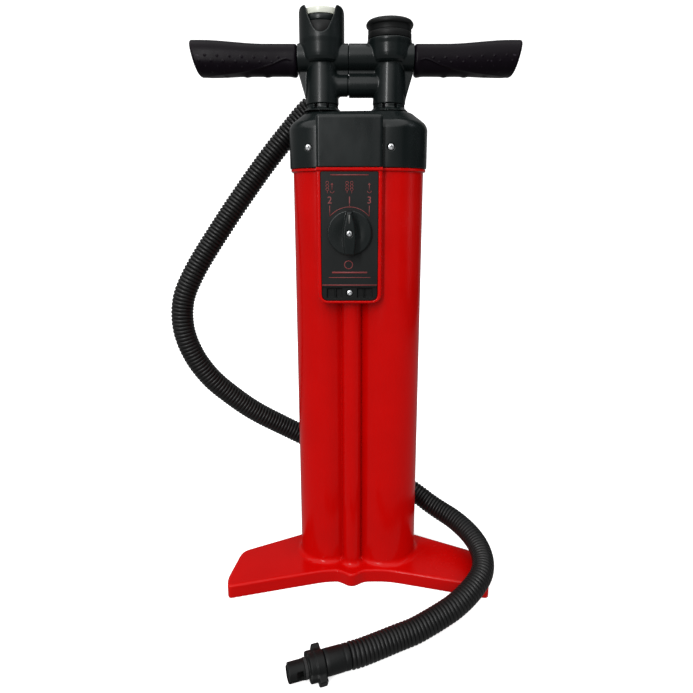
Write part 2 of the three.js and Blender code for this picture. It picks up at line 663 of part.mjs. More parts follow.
// ---------------------------------------------------------------- rods and pistons
function rodParts() {
  for (const { side, x, bore } of BARRELS) {
    const tube = ring(x, 0, [21, 555], ROD_BORE_R, ROD_R, 16);
    part(`rod_${side}`, cut(
      tube,
      bar([x, 0, HANDLE_SCREW_Z], [x, 12, HANDLE_SCREW_Z], 2.1, 8),
    ), aluminium);
    const edge = bore - 0.6;
    const groove = bore - 4;
    part(`piston_${side}`, turned([
      [ROD_R + GAP, 26], [edge, 26], [edge, 32.7], [groove, 32.7], [groove, 37.3], [edge, 37.3],
      [edge, 44], [ROD_R + GAP, 44], [ROD_R + GAP, 26],
    ], x, 0, ROUND), mattePlastic);
    part(`piston_seal_${side}`, ring(x, 0, [33, 37], groove + GAP, bore - GAP, ROUND), rubber);
    const nut = ring(x, 0, [20.5, 25.7], ROD_R + 2 * GAP, 12.4, 12);
    part(`piston_nut_${side}`, nut, steel);
  }
}

// ---------------------------------------------------------------- handle
const HANDLE_SCREW_Z = 520;
const GAUGE_SEAT = 570;

function gusset(out) {
  const x = (reach) => out * (ROD_X + reach);
  const corners = [[x(5), 512], [x(15.5), 512], [x(23), 538], [x(23), 550], [x(5), 550]];
  return extrudedAlongY(roundedOutline(corners), -2.5, 2.5);
}

// The column, its side of the bar, and its gusset; out is -1 on the left and +1 on the right.
function halfHandle(out) {
  const x = out * ROD_X;
  const seam = BAR.split + out * GAP / 2;
  return join(
    upright(x, 0, [COLUMN.bottom, COLUMN.waist], COLUMN.flare, 24, COLUMN.r),
    upright(x, 0, [COLUMN.waist - 1, COLUMN.top], COLUMN.r, 24),
    bar([out * (GRIP.inner - GAP), 0, BAR.z], [seam, 0, BAR.z], BAR.r, 20),
    bar([out * (GRIP.outer - 18), 0, BAR.z - 1], [out * 50, 0, BAR.z - 1], BAR.core),
    gusset(out),
  );
}

function handleBores(x) {
  return [
    upright(x, 0, [500, 556], ROD_R + GAP),
    upright(x, 0, [550, 575], 5, 12),
    bar([x, 0, HANDLE_SCREW_Z], [x, 16, HANDLE_SCREW_Z], 2.1, 8),
    bar([x, 13, HANDLE_SCREW_Z], [x, 20, HANDLE_SCREW_Z], 3.4, 12),
  ];
}

function scoopOutline() {
  const x = -ROD_X;
  return roundedOutline([
    [x, 570.5, 5], [x + 10.5, 583, 5], [x + 13.3, 592, 4], [x + 13.3, 610],
    [x - 13.3, 610], [x - 13.3, 592, 4], [x - 10.5, 583, 5],
  ]);
}

// Fills the slit between the bar and the bridge below it, on one side of the joint.
function web(out, bottom) {
  const ends = [out * ROD_X, BAR.split + out * GAP / 2].sort((first, second) => first - second);
  return block(ends, [-WEB.half, WEB.half], [bottom, WEB.top]);
}

// The web's tongue across the joint, or with a clearance the slot that it fits.
function tongue(clearance) {
  const [low, high] = WEB.tongue;
  return block(
    [BAR.split - 2, BAR.split + 2 + clearance],
    [-1.5 - clearance, 1.5 + clearance],
    [low - clearance, high + clearance],
  );
}

// The blunt lower end of both towers, where they stand out from the bar.
function podFoot() {
  const { footR, foot } = TOWER;
  return [[0, foot], [footR - 3, foot], [footR, foot + 2.4], [footR + 1.6, foot + 7.6]];
}

function leftHandle() {
  const x = -ROD_X;
  const { r, coneTop, top } = TOWER;
  const pod = turned([
    ...podFoot(), [r, coneTop], [r, top - 1.5], [r - 1.2, top], [0, top],
  ], x, 0, 24);
  return cut(
    join(
      halfHandle(-1),
      pod,
      web(-1, BRIDGE.z),
      tongue(0),
      bar([x, 0, BAR.z], [BAR.tenonEnd, 0, BAR.z], BAR.tenon, 20),
      bar([x, 0, BRIDGE.z], [BAR.split - 1, 0, BRIDGE.z], BRIDGE.spigot + 0.6),
      bar([x, 0, BRIDGE.z], [BAR.split + 10, 0, BRIDGE.z], BRIDGE.spigot - 0.5),
    ),
    ...handleBores(x),
    upright(x, 0, [GAUGE_SEAT, top + 1], 19, 24),
    extrudedAlongY(scoopOutline(), -40, 40, 3),
  );
}

function rightHandle() {
  const x = ROD_X;
  const { r, coneTop, cup } = TOWER;
  const tower = turned([
    ...podFoot(), [r - 0.3, coneTop - 1], [r - 0.3, cup], [0, cup],
  ], x, 0, 24);
  const lugs = block([x - r - 1.5, x + r + 1.5], [-5, 5], [559.5, 565.5]);
  return cut(
    join(
      halfHandle(1),
      tower,
      lugs,
      web(1, WEB.bottom),
      bar([x, 0, BRIDGE.z], [BAR.split + GAP, 0, BRIDGE.z], BRIDGE.socket),
    ),
    bar([BAR.split - 5, 0, BRIDGE.z], [BAR.split + 11, 0, BRIDGE.z], BRIDGE.spigot),
    bar([BAR.split - 5, 0, BAR.z], [BAR.tenonEnd + GAP, 0, BAR.z], BAR.tenon + GAP, 20),
    tongue(GAP),
    ...handleBores(x),
    upright(x, 0, [557, cup + 1], 18, 20),
  );
}

// Oval grip along x: it swells towards a slanted outer end, and its underside is level.
function gripSolid(out) {
  const length = GRIP.outer - GRIP.inner;
  const sleeve = new THREE.CylinderGeometry(1, 1, length, 18, 6).rotateZ(Math.PI / 2);
  const place = sleeve.attributes.position;
  for (let i = 0; i < place.count; i += 1) {
    const along = place.getX(i) / length + 0.5;
    const halfHeight = 15 + 1.7 * THREE.MathUtils.smoothstep(along, 0.3, 0.9);
    const halfDepth = 14.2 + 2.2 * THREE.MathUtils.smoothstep(along, 0.1, 0.8);
    const up = place.getZ(i);
    const slant = along > 0.99 ? 4 * (up - 1) : 0;
    place.setX(i, out * (GRIP.inner + along * length + slant));
    place.setY(i, place.getY(i) * halfDepth);
    place.setZ(i, GRIP.bottom + halfHeight + up * halfHeight);
  }
  const hollow = [out * (GRIP.inner - 5), out * (GRIP.outer - 18 + GAP)];
  const core = bar([hollow[0], 0, BAR.z - 1], [hollow[1], 0, BAR.z - 1], BAR.core + GAP);
  return cut(sleeve, core);
}

function handleParts() {
  part('handle_left', leftHandle(), blackPlastic);
  part('handle_right', rightHandle(), blackPlastic);
  part('grip_left', gripSolid(-1), gripPlastic);
  part('grip_right', gripSolid(1), gripPlastic);
  for (const { side, x } of BARRELS) {
    const profile = [[0, 0], [1.7, 0], [1.7, 7.2], [3, 7.2], [3, 8.8], [0, 9.2]];
    part(`handle_screw_${side}`, turnedAlong(profile, [x, 6.1, HANDLE_SCREW_Z], [0, 1, 0], 8), steel);
  }
}

// ---------------------------------------------------------------- pressure gauge
const GAUGE = { x: -ROD_X, body: [GAUGE_SEAT + GAP, 583.2], bezel: [583.5, 589], lensTop: 595.6 };

function gaugeParts() {
  const { x, body, bezel, lensTop } = GAUGE;
  part('gauge_body', join(
    upright(x, 0, body, 18.5, 20),
    upright(x, 0, [558, GAUGE_SEAT + 1], 4.6, 12),
  ), mattePlastic);
  part('gauge_bezel', ring(x, 0, bezel, 15.6, 18.6, 20), blackPlastic);
  part('gauge_dial', upright(x, 0, [bezel[0], bezel[0] + 0.8], 15.3, 20), dialWhite);
  const lensBottom = bezel[1] + GAP;
  part('gauge_lens', turned([
    [0, lensBottom], [18.5, lensBottom], [18.5, lensTop - 1], [12, lensTop - 0.3], [0, lensTop],
  ], x, 0, 20), clear);
  const pointer = roundedOutline([[x - 0.9, -3.5], [x + 0.9, -3.5], [x + 0.4, 12.5], [x - 0.4, 12.5]]);
  part('gauge_needle', join(
    upright(x, 0, [585, 587], 2.2, 10),
    extruded(pointer, 585.4, 586.2, 2),
  ).translate(-x, 0, 0).rotateZ(THREE.MathUtils.degToRad(135)).translate(x, 0, 0), needleRed);
}

// ---------------------------------------------------------------- port plug
function plugParts() {
  const x = ROD_X;
  const seat = TOWER.cup + GAP;
  part('port_plug', turned([
    [0, 559], [16.2, 559], [16.2, 561.7], [14.2, 561.7], [14.2, 565.3], [16.2, 565.3], [16.2, seat],
    [21.3, seat], [20.9, 580.7], [22.4, 580.7], [22.9, 582], [22.9, 584.4], [21.6, 586], [0, 586],
  ], x, 0, 20), mattePlastic);
  part('plug_oring', ring(x, 0, [562, 565], 14.5, 17.6, 20), rubber);
}

// ---------------------------------------------------------------- the whole pump
part('barrel_body', barrelBody(), redPlastic);
baseParts();
headInternals();
headParts();
selectorParts();
knobParts();
outletParts();
part('hose', hoseSolid(), hosePlastic);
adapterParts();
rodParts();
handleParts();
gaugeParts();
plugParts();

export default pump;
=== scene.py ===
"""Looks of the twin-barrel hand pump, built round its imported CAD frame.

Shapes are written in millimetres in the frame's own axes, with +Z up and the origin on the floor
midway between the two rods, and are scaled to metres as each mesh is made.
"""
import math

import bpy
import numpy as np
from mathutils import Matrix, Vector


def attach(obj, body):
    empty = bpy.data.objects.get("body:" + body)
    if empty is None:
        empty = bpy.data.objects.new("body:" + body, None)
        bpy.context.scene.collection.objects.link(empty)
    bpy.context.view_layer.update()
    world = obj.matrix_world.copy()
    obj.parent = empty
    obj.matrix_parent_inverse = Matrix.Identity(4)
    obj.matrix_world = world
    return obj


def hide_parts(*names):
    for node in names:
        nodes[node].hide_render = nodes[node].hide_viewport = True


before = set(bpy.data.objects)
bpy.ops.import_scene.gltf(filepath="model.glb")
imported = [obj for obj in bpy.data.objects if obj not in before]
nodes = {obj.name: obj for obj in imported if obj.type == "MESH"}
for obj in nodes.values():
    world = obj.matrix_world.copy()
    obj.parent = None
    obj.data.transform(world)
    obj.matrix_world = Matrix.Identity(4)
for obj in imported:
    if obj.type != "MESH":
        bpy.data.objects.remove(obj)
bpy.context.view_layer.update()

MM = 0.001
CELL = 1.0

# ---------------------------------------------------------------- driving dimensions
ROD_X = 33.0
LEFT_BARREL = (-ROD_X, 30.4, 27.2)  # axis x, outer radius, bore radius
RIGHT_BARREL = (ROD_X, 35.8, 32.6)
BODY_X = 2.7
BODY_TOP = 448.0
RIB = (-4.4, -25.8, 10.2)  # x, y, radius
RIB_TOP = 330.0
PANEL_X = -6.0
PANEL_HALF = 31.2
PANEL_FRONT = -46.0
PANEL_BOTTOM = 317.4
FOOT_HEIGHT = 15.5
KNOB_Z = 387.0
KNOB_FRONT = -65.0
OUTLET = (-28.0, 40.0)
OUTLET_BEND = 532.0
OUTLET_LENGTH = 24.7
BAR_Z = 553.8
BRIDGE_Z = 528.0
SPLIT_X = -7.0
HEAD_SCREW_Z = 467.0
HANDLE_SCREW_Z = 520.0
CARTRIDGE_SCREW_Z = 327.8


def unit(*parts):
    direction = np.array(parts, float)
    return direction / np.linalg.norm(direction)


OUT_DIRECTION = unit(-0.74, 0.05, -0.67)
END_DIRECTION = unit(-0.94, -0.34, 0.0)
HOSE_END = np.array([-6.0, -160.0, 12.0])


# ---------------------------------------------------------------- meshes
def new_piece(name, points, faces, body, finish, replaces=(), normals=None, sharp=None):
    """A mesh object from points in millimetres, riding on a body, in the slot of its finish."""
    mesh = bpy.data.meshes.new(name)
    mesh.from_pydata((np.asarray(points, float) * MM).tolist(), [], [list(f) for f in faces])
    mesh.polygons.foreach_set("use_smooth", [True] * len(mesh.polygons))
    mesh.materials.append(finish)
    if normals is not None:
        mesh.normals_split_custom_set_from_vertices(normals.tolist())
    if sharp is not None:
        mesh.set_sharp_from_angle(angle=math.radians(sharp))
    mesh.validate()
    piece = bpy.data.objects.new(name, mesh)
    bpy.context.scene.collection.objects.link(piece)
    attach(piece, body)
    if replaces:
        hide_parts(*replaces)
    return piece


def frame_from(direction, up=(0.0, 0.0, 1.0)):
    """Rows of a right-handed basis whose third row is the direction."""
    third = unit(*direction)
    first = np.cross(up, third)
    if np.linalg.norm(first) < 1e-6:
        first = np.array([1.0, 0.0, 0.0])
    first = unit(*first)
    return np.array([first, np.cross(third, first), third])


def placed(points, origin, basis):
    """Local points set down at an origin, along a basis of row vectors."""
    return np.asarray(points, float) @ basis + np.asarray(origin, float)


UPRIGHT = np.eye(3)


def lathe(profile, origin=(0.0, 0.0, 0.0), basis=UPRIGHT, sides=72, flutes=0, depth=0.0):
    """A closed turned mesh from [radius, height] pairs; flutes press grooves into its outside."""
    angles = np.arange(sides) * 2 * math.pi / sides
    wave = 0.5 - 0.5 * np.cos(angles * flutes) if flutes else np.zeros(sides)
    closed = profile[0][0] > 0
    points, rows = [], []
    widest = max(radius for radius, _ in profile)
    for radius, height in profile:
        if radius == 0:
            rows.append([len(points)])
            points.append((0.0, 0.0, height))
            continue
        rows.append(list(range(len(points), len(points) + sides)))
        share = 1.0 if radius > widest - 1.5 else 0.0
        for angle, press in zip(angles, wave):
            reach = radius - depth * press * share
            points.append((reach * math.cos(angle), reach * math.sin(angle), height))
    pairs = list(zip(rows, rows[1:]))
    if closed:
        pairs.append((rows[-1], rows[0]))
    faces = []
    for low, high in pairs:
        for i in range(sides):
            j = (i + 1) % sides
            if len(low) == 1:
                faces.append((low[0], high[j], high[i]))
            elif len(high) == 1:
                faces.append((low[i], low[j], high[0]))
            else:
                faces.append((low[i], low[j], high[j], high[i]))
    return placed(points, origin, basis), faces


def softened(profile, bevel, closed):
    """The profile with each inner corner cut by a small bevel."""
    points = [np.array(p, float) for p in profile]
    count = len(points)
    result = []
    for i, here in enumerate(points):
        if not closed and i in (0, count - 1):
            result.append(tuple(here))
            continue
        for other in (points[i - 1], points[(i + 1) % count]):
            step = other - here
            length = np.linalg.norm(step)
            result.append(tuple(here + step / length * min(bevel, length * 0.4)))
    return result


def turned_piece(name, profile, body, finish, replaces, bevel=0.35, **how):
    """A lathe piece; a profile that starts off the axis closes on itself as a ring."""
    soft = softened(profile, bevel, profile[0][0] > 0)
    points, faces = lathe(soft, **how)
    return new_piece(name, points, faces, body, finish, replaces, sharp=50)


# ---------------------------------------------------------------- distance fields, in millimetres
def tube(u, v, cu, cv, radius):
    return np.hypot(u - cu, v - cv) - radius


def slab(v, low, high):
    return np.abs(v - (low + high) / 2) - (high - low) / 2


def either(a, b, radius=0.0):
    """Both shapes together, with a fillet of that radius in their corner."""
    near = np.minimum(a, b)
    if radius == 0:
        return near
    corner = np.hypot(np.maximum(radius - a, 0), np.maximum(radius - b, 0))
    return np.maximum(near, radius) - corner


def both(a, b, radius=0.0):
    """What the shapes share, with a rounded edge of that radius."""
    far = np.maximum(a, b)
    if radius == 0:
        return far
    edge = np.hypot(np.maximum(radius + a, 0), np.maximum(radius + b, 0))
    return np.minimum(far, -radius) + edge


def without(a, b, radius=0.0):
    return both(a, -b, radius)


def brick(x, y, z, xs, ys, zs, radius=0.0):
    """A box with rounded edges."""
    a = slab(x, *xs) + radius
    b = slab(y, *ys) + radius
    c = slab(z, *zs) + radius
    outside = np.sqrt(np.maximum(a, 0) ** 2 + np.maximum(b, 0) ** 2 + np.maximum(c, 0) ** 2)
    return outside + np.minimum(np.maximum(np.maximum(a, b), c), 0) - radius


def polygon(u, v, corners):
    """Signed distance to a closed outline, negative inside."""
    shape = np.broadcast(u, v).shape
    best = np.full(shape, np.inf)
    inside = np.zeros(shape, bool)
    for (ax, ay), (bx, by) in zip(corners, corners[1:] + corners[:1]):
        ex, ey = bx - ax, by - ay
        wx, wy = u - ax, v - ay
        share = np.clip((wx * ex + wy * ey) / (ex * ex + ey * ey), 0, 1)
        best = np.minimum(best, (wx - ex * share) ** 2 + (wy - ey * share) ** 2)
        if by != ay:
            inside ^= ((ay > v) != (by > v)) & (wx < ex * wy / ey)
    return np.where(inside, -1.0, 1.0) * np.sqrt(best)


def twin(x, y, left, right):
    """Distance to the outline round two circles at the rod axes, with straight sides."""
    span = 2 * ROD_X
    lean = (left - right) / span
    rise = math.sqrt(1 - lean * lean)
    px, py = np.abs(y), x + ROD_X
    along = -lean * px + rise * py
    start = np.hypot(px, py) - left
    end = np.hypot(px, py - span) - right
    middle = px * rise + py * lean - left
    return np.where(along < 0, start, np.where(along > rise * span, end, middle))


def rounded(corners, steps=5):
    """Corners [x, y, reach] joined by curves that start and end at their reach."""
    points = []
    count = len(corners)
    for i, (x, y, reach) in enumerate(corners):
        here = np.array([x, y])
        before = np.array(corners[i - 1][:2]) - here
        after = np.array(corners[(i + 1) % count][:2]) - here
        start = here + before / np.linalg.norm(before) * reach
        end = here + after / np.linalg.norm(after) * reach
        for step in range(steps + 1 if reach else 1):
            t = step / steps
            point = start * (1 - t) ** 2 + here * 2 * t * (1 - t) + end * t * t
            points.append((float(point[0]), float(point[1])))
    return points


def along_axis(x, y, z, origin, direction):
    """How far a point is along an axis, and how far from it."""
    dx, dy, dz = x - origin[0], y - origin[1], z - origin[2]
    along = dx * direction[0] + dy * direction[1] + dz * direction[2]
    away = np.sqrt(np.maximum(dx * dx + dy * dy + dz * dz - along * along, 0))
    return along, away


def levels(low, high, step, *fine):
    """Grid levels from low to high, closer together in each fine (from, to, step) range."""
    marks = [low]
    while marks[-1] < high:
        here = marks[-1]
        gap = step
        for start, end, close in fine:
            if start - 1e-9 <= here < end:
                gap = min(gap, close)
            elif here < start < here + gap * CELL:
                gap = min(gap, (start - here) / CELL)
        marks.append(here + gap * CELL)
    return np.array(marks)


def slope_of(field, points, reach):
    x, y, z = points.T
    return np.stack([
        field(x + reach, y, z) - field(x - reach, y, z),
        field(x, y + reach, z) - field(x, y - reach, z),
        field(x, y, z + reach) - field(x, y, z - reach),
    ], axis=1) / (2 * reach)


def skin(field, xs, ys, zs, smooth=0.25):
    """The surface where a field is zero, as quads with normals: a point in each mixed cell of the
    grid, drawn onto the surface along the field's slope."""
    axes = (xs, ys, zs)
    value = field(xs[:, None, None], ys[None, :, None], zs[None, None, :])
    value = np.broadcast_to(value, (len(xs), len(ys), len(zs)))
    cells = tuple(len(a) - 1 for a in axes)
    keys, places, quads = [], [], []
    for axis in range(3):
        low = np.take(value, range(cells[axis]), axis)
        high = np.take(value, range(1, cells[axis] + 1), axis)
        index = np.argwhere((low < 0) != (high < 0))
        first = low[tuple(index.T)]
        last = high[tuple(index.T)]
        place = np.stack([axes[k][index[:, k]] for k in range(3)], axis=1)
        width = axes[axis][index[:, axis] + 1] - axes[axis][index[:, axis]]
        place[:, axis] += width * first / (first - last)
        u, v = (axis + 1) % 3, (axis + 2) % 3
        corner = []
        for du, dv in ((-1, -1), (0, -1), (0, 0), (-1, 0)):
            cell = index.copy()
            cell[:, u] += du
            cell[:, v] += dv
            key = np.ravel_multi_index(np.clip(cell, 0, np.array(cells) - 1).T, cells)
            corner.append(key)
            keys.append(key)
            places.append(place)
        quad = np.stack(corner, axis=1)
        quads.append(np.where((first < 0)[:, None], quad, quad[:, ::-1]))
    names, back = np.unique(np.concatenate(keys), return_inverse=True)
    weight = np.bincount(back)
    stacked = np.concatenate(places)
    points = np.stack([np.bincount(back, stacked[:, k]) / weight for k in range(3)], axis=1)
    faces = np.searchsorted(names, np.concatenate(quads))
    start = points.copy()
    limit = 0.8 * min(float(np.min(np.diff(a))) for a in axes)
    for _ in range(4):
        slope = slope_of(field, points, 0.02)
        steep = np.maximum((slope ** 2).sum(1), 0.05)
        move = -(field(*points.T) / steep)[:, None] * slope
        far = np.maximum(np.linalg.norm(move, axis=1) / limit, 1)
        points = points + move / far[:, None]
    drift = np.linalg.norm(points - start, axis=1)
    lost = drift > 3 * limit
    points[lost] = start[lost]
    normals = slope_of(field, points, smooth)
    normals /= np.maximum(np.linalg.norm(normals, axis=1), 1e-9)[:, None]
    return points, faces, normals


def moulded(name, field, grid, body, finish, replaces, smooth=0.25):
    points, faces, normals = skin(field, *grid, smooth=smooth)
    return new_piece(name, points, faces, body, finish, replaces, normals=normals)


# ---------------------------------------------------------------- finishes
class Finish:
    """One procedural material, built up on its Principled shader."""

    def __init__(self, name, metallic=0.0):
        self.material = bpy.data.materials.new(name)
        self.material.use_nodes = True
        self.tree = self.material.node_tree
        self.shader = self.tree.nodes["Principled BSDF"]
        self.shader.inputs["Metallic"].default_value = metallic
        self.coords = self.node("ShaderNodeTexCoord").outputs["Object"]

    def node(self, kind, **settings):
        made = self.tree.nodes.new(kind)
        for key, value in settings.items():
            setattr(made, key, value)
        return made

    def link(self, source, target):
        self.tree.links.new(source, target)

    def noise(self, scale, detail=3.0, stretch=(1.0, 1.0, 1.0)):
        """Noise with that many lumps to the metre, longer along an axis whose stretch is small."""
        mapping = self.node("ShaderNodeMapping")
        mapping.inputs["Scale"].default_value = stretch
        self.link(self.coords, mapping.inputs["Vector"])
        noise = self.node("ShaderNodeTexNoise")
        noise.inputs["Scale"].default_value = scale
        noise.inputs["Detail"].default_value = detail
        self.link(mapping.outputs["Vector"], noise.inputs["Vector"])
        return noise.outputs["Fac"]

    def ranged(self, source, low, high, start=0.3, end=0.7):
        """The source spread over a new range."""
        spread = self.node("ShaderNodeMapRange")
        spread.inputs["From Min"].default_value = start
        spread.inputs["From Max"].default_value = end
        spread.inputs["To Min"].default_value = low
        spread.inputs["To Max"].default_value = high
        self.link(source, spread.inputs["Value"])
        return spread.outputs["Result"]

    def mixed(self, share, first, second):
        """A colour between two; each is a colour or another node's output."""
        mix = self.node("ShaderNodeMix", data_type="RGBA")
        self.link(share, mix.inputs["Factor"])
        for socket, value in ((mix.inputs[6], first), (mix.inputs[7], second)):
            if isinstance(value, tuple):
                socket.default_value = (*value, 1.0)
            else:
                self.link(value, socket)
        return mix.outputs[2]

    def added(self, first, second):
        total = self.node("ShaderNodeMath", operation="ADD")
        self.link(first, total.inputs[0])
        self.link(second, total.inputs[1])
        return total.outputs[0]

    def edge_wear_and_highlight(self, color, edge, amount):
        """Lighter along the outer edges: partly rubbed wear, partly painted highlight."""
        edges = self.node("ShaderNodeNewGeometry").outputs["Pointiness"]
        return self.mixed(self.ranged(edges, 0.0, amount, 0.52, 0.62), color, edge)

    def bumped(self, height, strength, distance):
        bump = self.node("ShaderNodeBump")
        bump.inputs["Strength"].default_value = strength
        bump.inputs["Distance"].default_value = distance
        self.link(height, bump.inputs["Height"])
        self.link(bump.outputs["Normal"], self.shader.inputs["Normal"])

    def set(self, **constants):
        for key, value in constants.items():
            self.shader.inputs[key.replace("_", " ")].default_value = value
        return self


def tinted(color, share):
    return tuple(min(1.0, c * share) for c in color)


def plastic(name, color, roughness, grain, depth, mottle=0.08, edge=None, amount=0.25, **constants):
    """Moulded plastic: faint clouding, uneven gloss, a fine mould grain and lighter edges, partly
    rubbed wear and partly painted highlight.
    """
    finish = Finish(name)
    clouds = finish.noise(28.0, 4.0)
    base = finish.mixed(
        finish.ranged(clouds, 0.0, 1.0), tinted(color, 1 - mottle), tinted(color, 1 + mottle),
    )
    if edge is not None:
        # Pointiness lightens the outer edges: partly rubbed wear, partly painted highlight.
        base = finish.edge_wear_and_highlight(base, edge, amount)
    finish.link(base, finish.shader.inputs["Base Color"])
    smears = finish.ranged(finish.noise(90.0, 5.0, (1.0, 1.0, 0.35)), -0.05, 0.05)
    handled = finish.ranged(finish.noise(14.0, 2.0), roughness - 0.03, roughness + 0.05)
    finish.link(finish.added(smears, handled), finish.shader.inputs["Roughness"])
    finish.bumped(finish.noise(grain, 2.0), 0.35, depth)
    return finish.set(**constants).material


def metal(name, color, roughness, stretch):
    """Bright metal with fine drawn or turned lines and a few duller patches."""
    finish = Finish(name, metallic=1.0)
    lines = finish.noise(2600.0, 3.0, stretch)
    base = finish.mixed(finish.ranged(finish.noise(120.0), 0.0, 1.0), tinted(color, 0.86), color)
    finish.link(base, finish.shader.inputs["Base Color"])
    dull = finish.ranged(finish.noise(60.0, 4.0), -0.04, 0.08)
    fine = finish.ranged(lines, roughness - 0.06, roughness + 0.08)
    finish.link(finish.added(dull, fine), finish.shader.inputs["Roughness"])
    finish.bumped(lines, 0.25, 0.00003)
    return finish.material


# The red's lighter edge colour is mostly painted highlight along the rib, the edges and the foot,
# with a little rubbed wear.
RED = plastic(
    "red_gloss", (0.475, 0.0011, 0.0006), 0.2, 260.0, 0.00006, 0.04, (0.66, 0.02, 0.012), 0.3,
    Specular_IOR_Level=0.14,
)
BLACK = plastic(
    "black_gloss", (0.0048, 0.0072, 0.0072), 0.27, 1400.0, 0.00003, 0.12, (0.03, 0.036, 0.036), 0.3,
    Specular_IOR_Level=0.27,
)
MATTE = plastic(
    "black_matte", (0.0052, 0.0056, 0.0056), 0.45, 2200.0, 0.00005, 0.15,
    (0.018, 0.018, 0.018), 0.3,
    Specular_IOR_Level=0.16,
)
# The grip's light edge colour paints highlights on its raised dots and edges.
GRIP = plastic(
    "grip_rubber", (0.0030, 0.0016, 0.0034), 0.36, 2600.0, 0.00006, 0.2, (0.045, 0.036, 0.050), 0.5,
    Specular_IOR_Level=0.08,
)
HOSE = plastic(
    "hose_plastic", (0.0040, 0.0040, 0.0040), 0.36, 1800.0, 0.00004, 0.2,
    (0.016, 0.016, 0.016), 0.5,
    Specular_IOR_Level=0.3,
)
RUBBER = plastic("seal_rubber", (0.014, 0.014, 0.014), 0.85, 3000.0, 0.00006, 0.2)
LABEL = plastic(
    "label_film", (0.0070, 0.0082, 0.0082), 0.4, 3500.0, 0.00002, 0.06, Specular_IOR_Level=0.2,
)
PRINT = plastic("label_print", (0.20, 0.030, 0.030), 0.5, 3500.0, 0.00001, 0.12)
DIAL = plastic("dial_card", (0.78, 0.78, 0.74), 0.6, 3500.0, 0.00001, 0.02)
INK = plastic("dial_ink", (0.02, 0.02, 0.022), 0.6, 3500.0, 0.00001, 0.1)
WHITE = plastic("pointer_paint", (0.10, 0.10, 0.095), 0.5, 3500.0, 0.00001, 0.1)
NEEDLE = plastic("needle_paint", (0.5, 0.012, 0.012), 0.45, 3500.0, 0.00001, 0.04)
STEEL = metal("screw_steel", (0.62, 0.63, 0.64), 0.3, (1.0, 1.0, 1.0))
ALUMINIUM = metal("rod_aluminium", (0.72, 0.73, 0.75), 0.3, (1.0, 1.0, 0.02))
# The lens's pale cream colour is painted light: it stands in for the light caught in the clear
# lens's edge.
LENS = plastic(
    "lens_pale_painted_edge_light", (0.84, 0.86, 0.76), 0.2, 900.0, 0.00001, 0.02, Transmission_Weight=0.25, IOR=1.49,
)

# ---------------------------------------------------------------- camera
camera = bpy.data.objects.new("camera", bpy.data.cameras.new("camera"))
bpy.context.scene.collection.objects.link(camera)
bpy.context.scene.camera = camera
camera.data.sensor_width = 36.0
camera.data.lens = 29.1
camera.data.shift_x = -0.0123
camera.data.shift_y = -0.031
camera.location = (-0.0007, -0.593, 0.418)
camera.rotation_euler = (math.radians(77.4), 0.0, 0.0)

# ---------------------------------------------------------------- hose
HOSE_PITCH = 4.0
HOSE_CREST = 11.9
HOSE_VALLEY = 10.5
HOSE_SIDES = 32
RING_SECTIONS = 6


def along_outlet(distance):
    return np.array([*OUTLET, OUTLET_BEND]) + OUT_DIRECTION * distance


def past_end(distance):
    return HOSE_END + END_DIRECTION * distance


HOSE_ROUTE = [
    along_outlet(OUTLET_LENGTH + 0.6),
    along_outlet(OUTLET_LENGTH + 10),
    (-66.5, 41.5, 494.5),
    (-90, 39, 466.5),
    (-109.5, 35.5, 441),
    (-145.5, 26, 389.5),
    (-177.5, 16, 338),
    (-189, 13, 310),
    (-190.5, 12.5, 278.5),
    (-182, 16, 247),
    (-166, 23, 218),
    (-145, 33, 193),
    (-121, 43, 170),
    (-79, 55, 141),
    (0, 59, 97.5),
    (40, 60, 76),
    (62, 57.5, 64.5),
    (80, 48, 55.5),
    (92, 39.5, 49.5),
    (104, 30.5, 45),
    (116, 19.5, 42),
    (126, 7, 39),
    (134, -8, 36.5),
    (139, -23.5, 34),
    (140.5, -39.5, 32),
    (138.8, -54.5, 30),
    (133.5, -69, 28.3),
    (123, -84, 25.7),
    (110.5, -97, 22.8),
    (97, -108, 20),
    (83, -116.5, 17.3),
    (69, -124.5, 15),
    (55, -131.8, 13),
    (40.5, -138.2, 12.2),
    (26, -145.5, 12),
    past_end(-10),
    past_end(0),
]


def smooth_route(points, per_span=24):
    """A centripetal curve through the points, as many short steps."""
    points = [np.array(p, float) for p in points]
    padded = [2 * points[0] - points[1], *points, 2 * points[-1] - points[-2]]
    result = []
    for a, b, c, d in zip(padded, padded[1:], padded[2:], padded[3:]):
        spans = ((a, b), (b, c), (c, d))
        before, here, after = (math.sqrt(np.linalg.norm(q - p)) for p, q in spans)
        leave = ((b - a) / before - (c - a) / (before + here) + (c - b) / here) * here
        arrive = ((c - b) / here - (d - b) / (here + after) + (d - c) / after) * here
        for step in range(per_span):
            t = step / per_span
            result.append(
                b * (2 * t ** 3 - 3 * t * t + 1) + leave * (t ** 3 - 2 * t * t + t)
                + c * (3 * t * t - 2 * t ** 3) + arrive * (t ** 3 - t * t)
            )
    result.append(points[-1])
    return np.array(result)


def evenly(line, count):
    """The same line with points at equal distances along it."""
    steps = np.linalg.norm(np.diff(line, axis=0), axis=1)
    run = np.concatenate([[0.0], np.cumsum(steps)])
    marks = np.linspace(0.0, run[-1], count)
    return np.stack([np.interp(marks, run, line[:, k]) for k in range(3)], axis=1), run[-1]


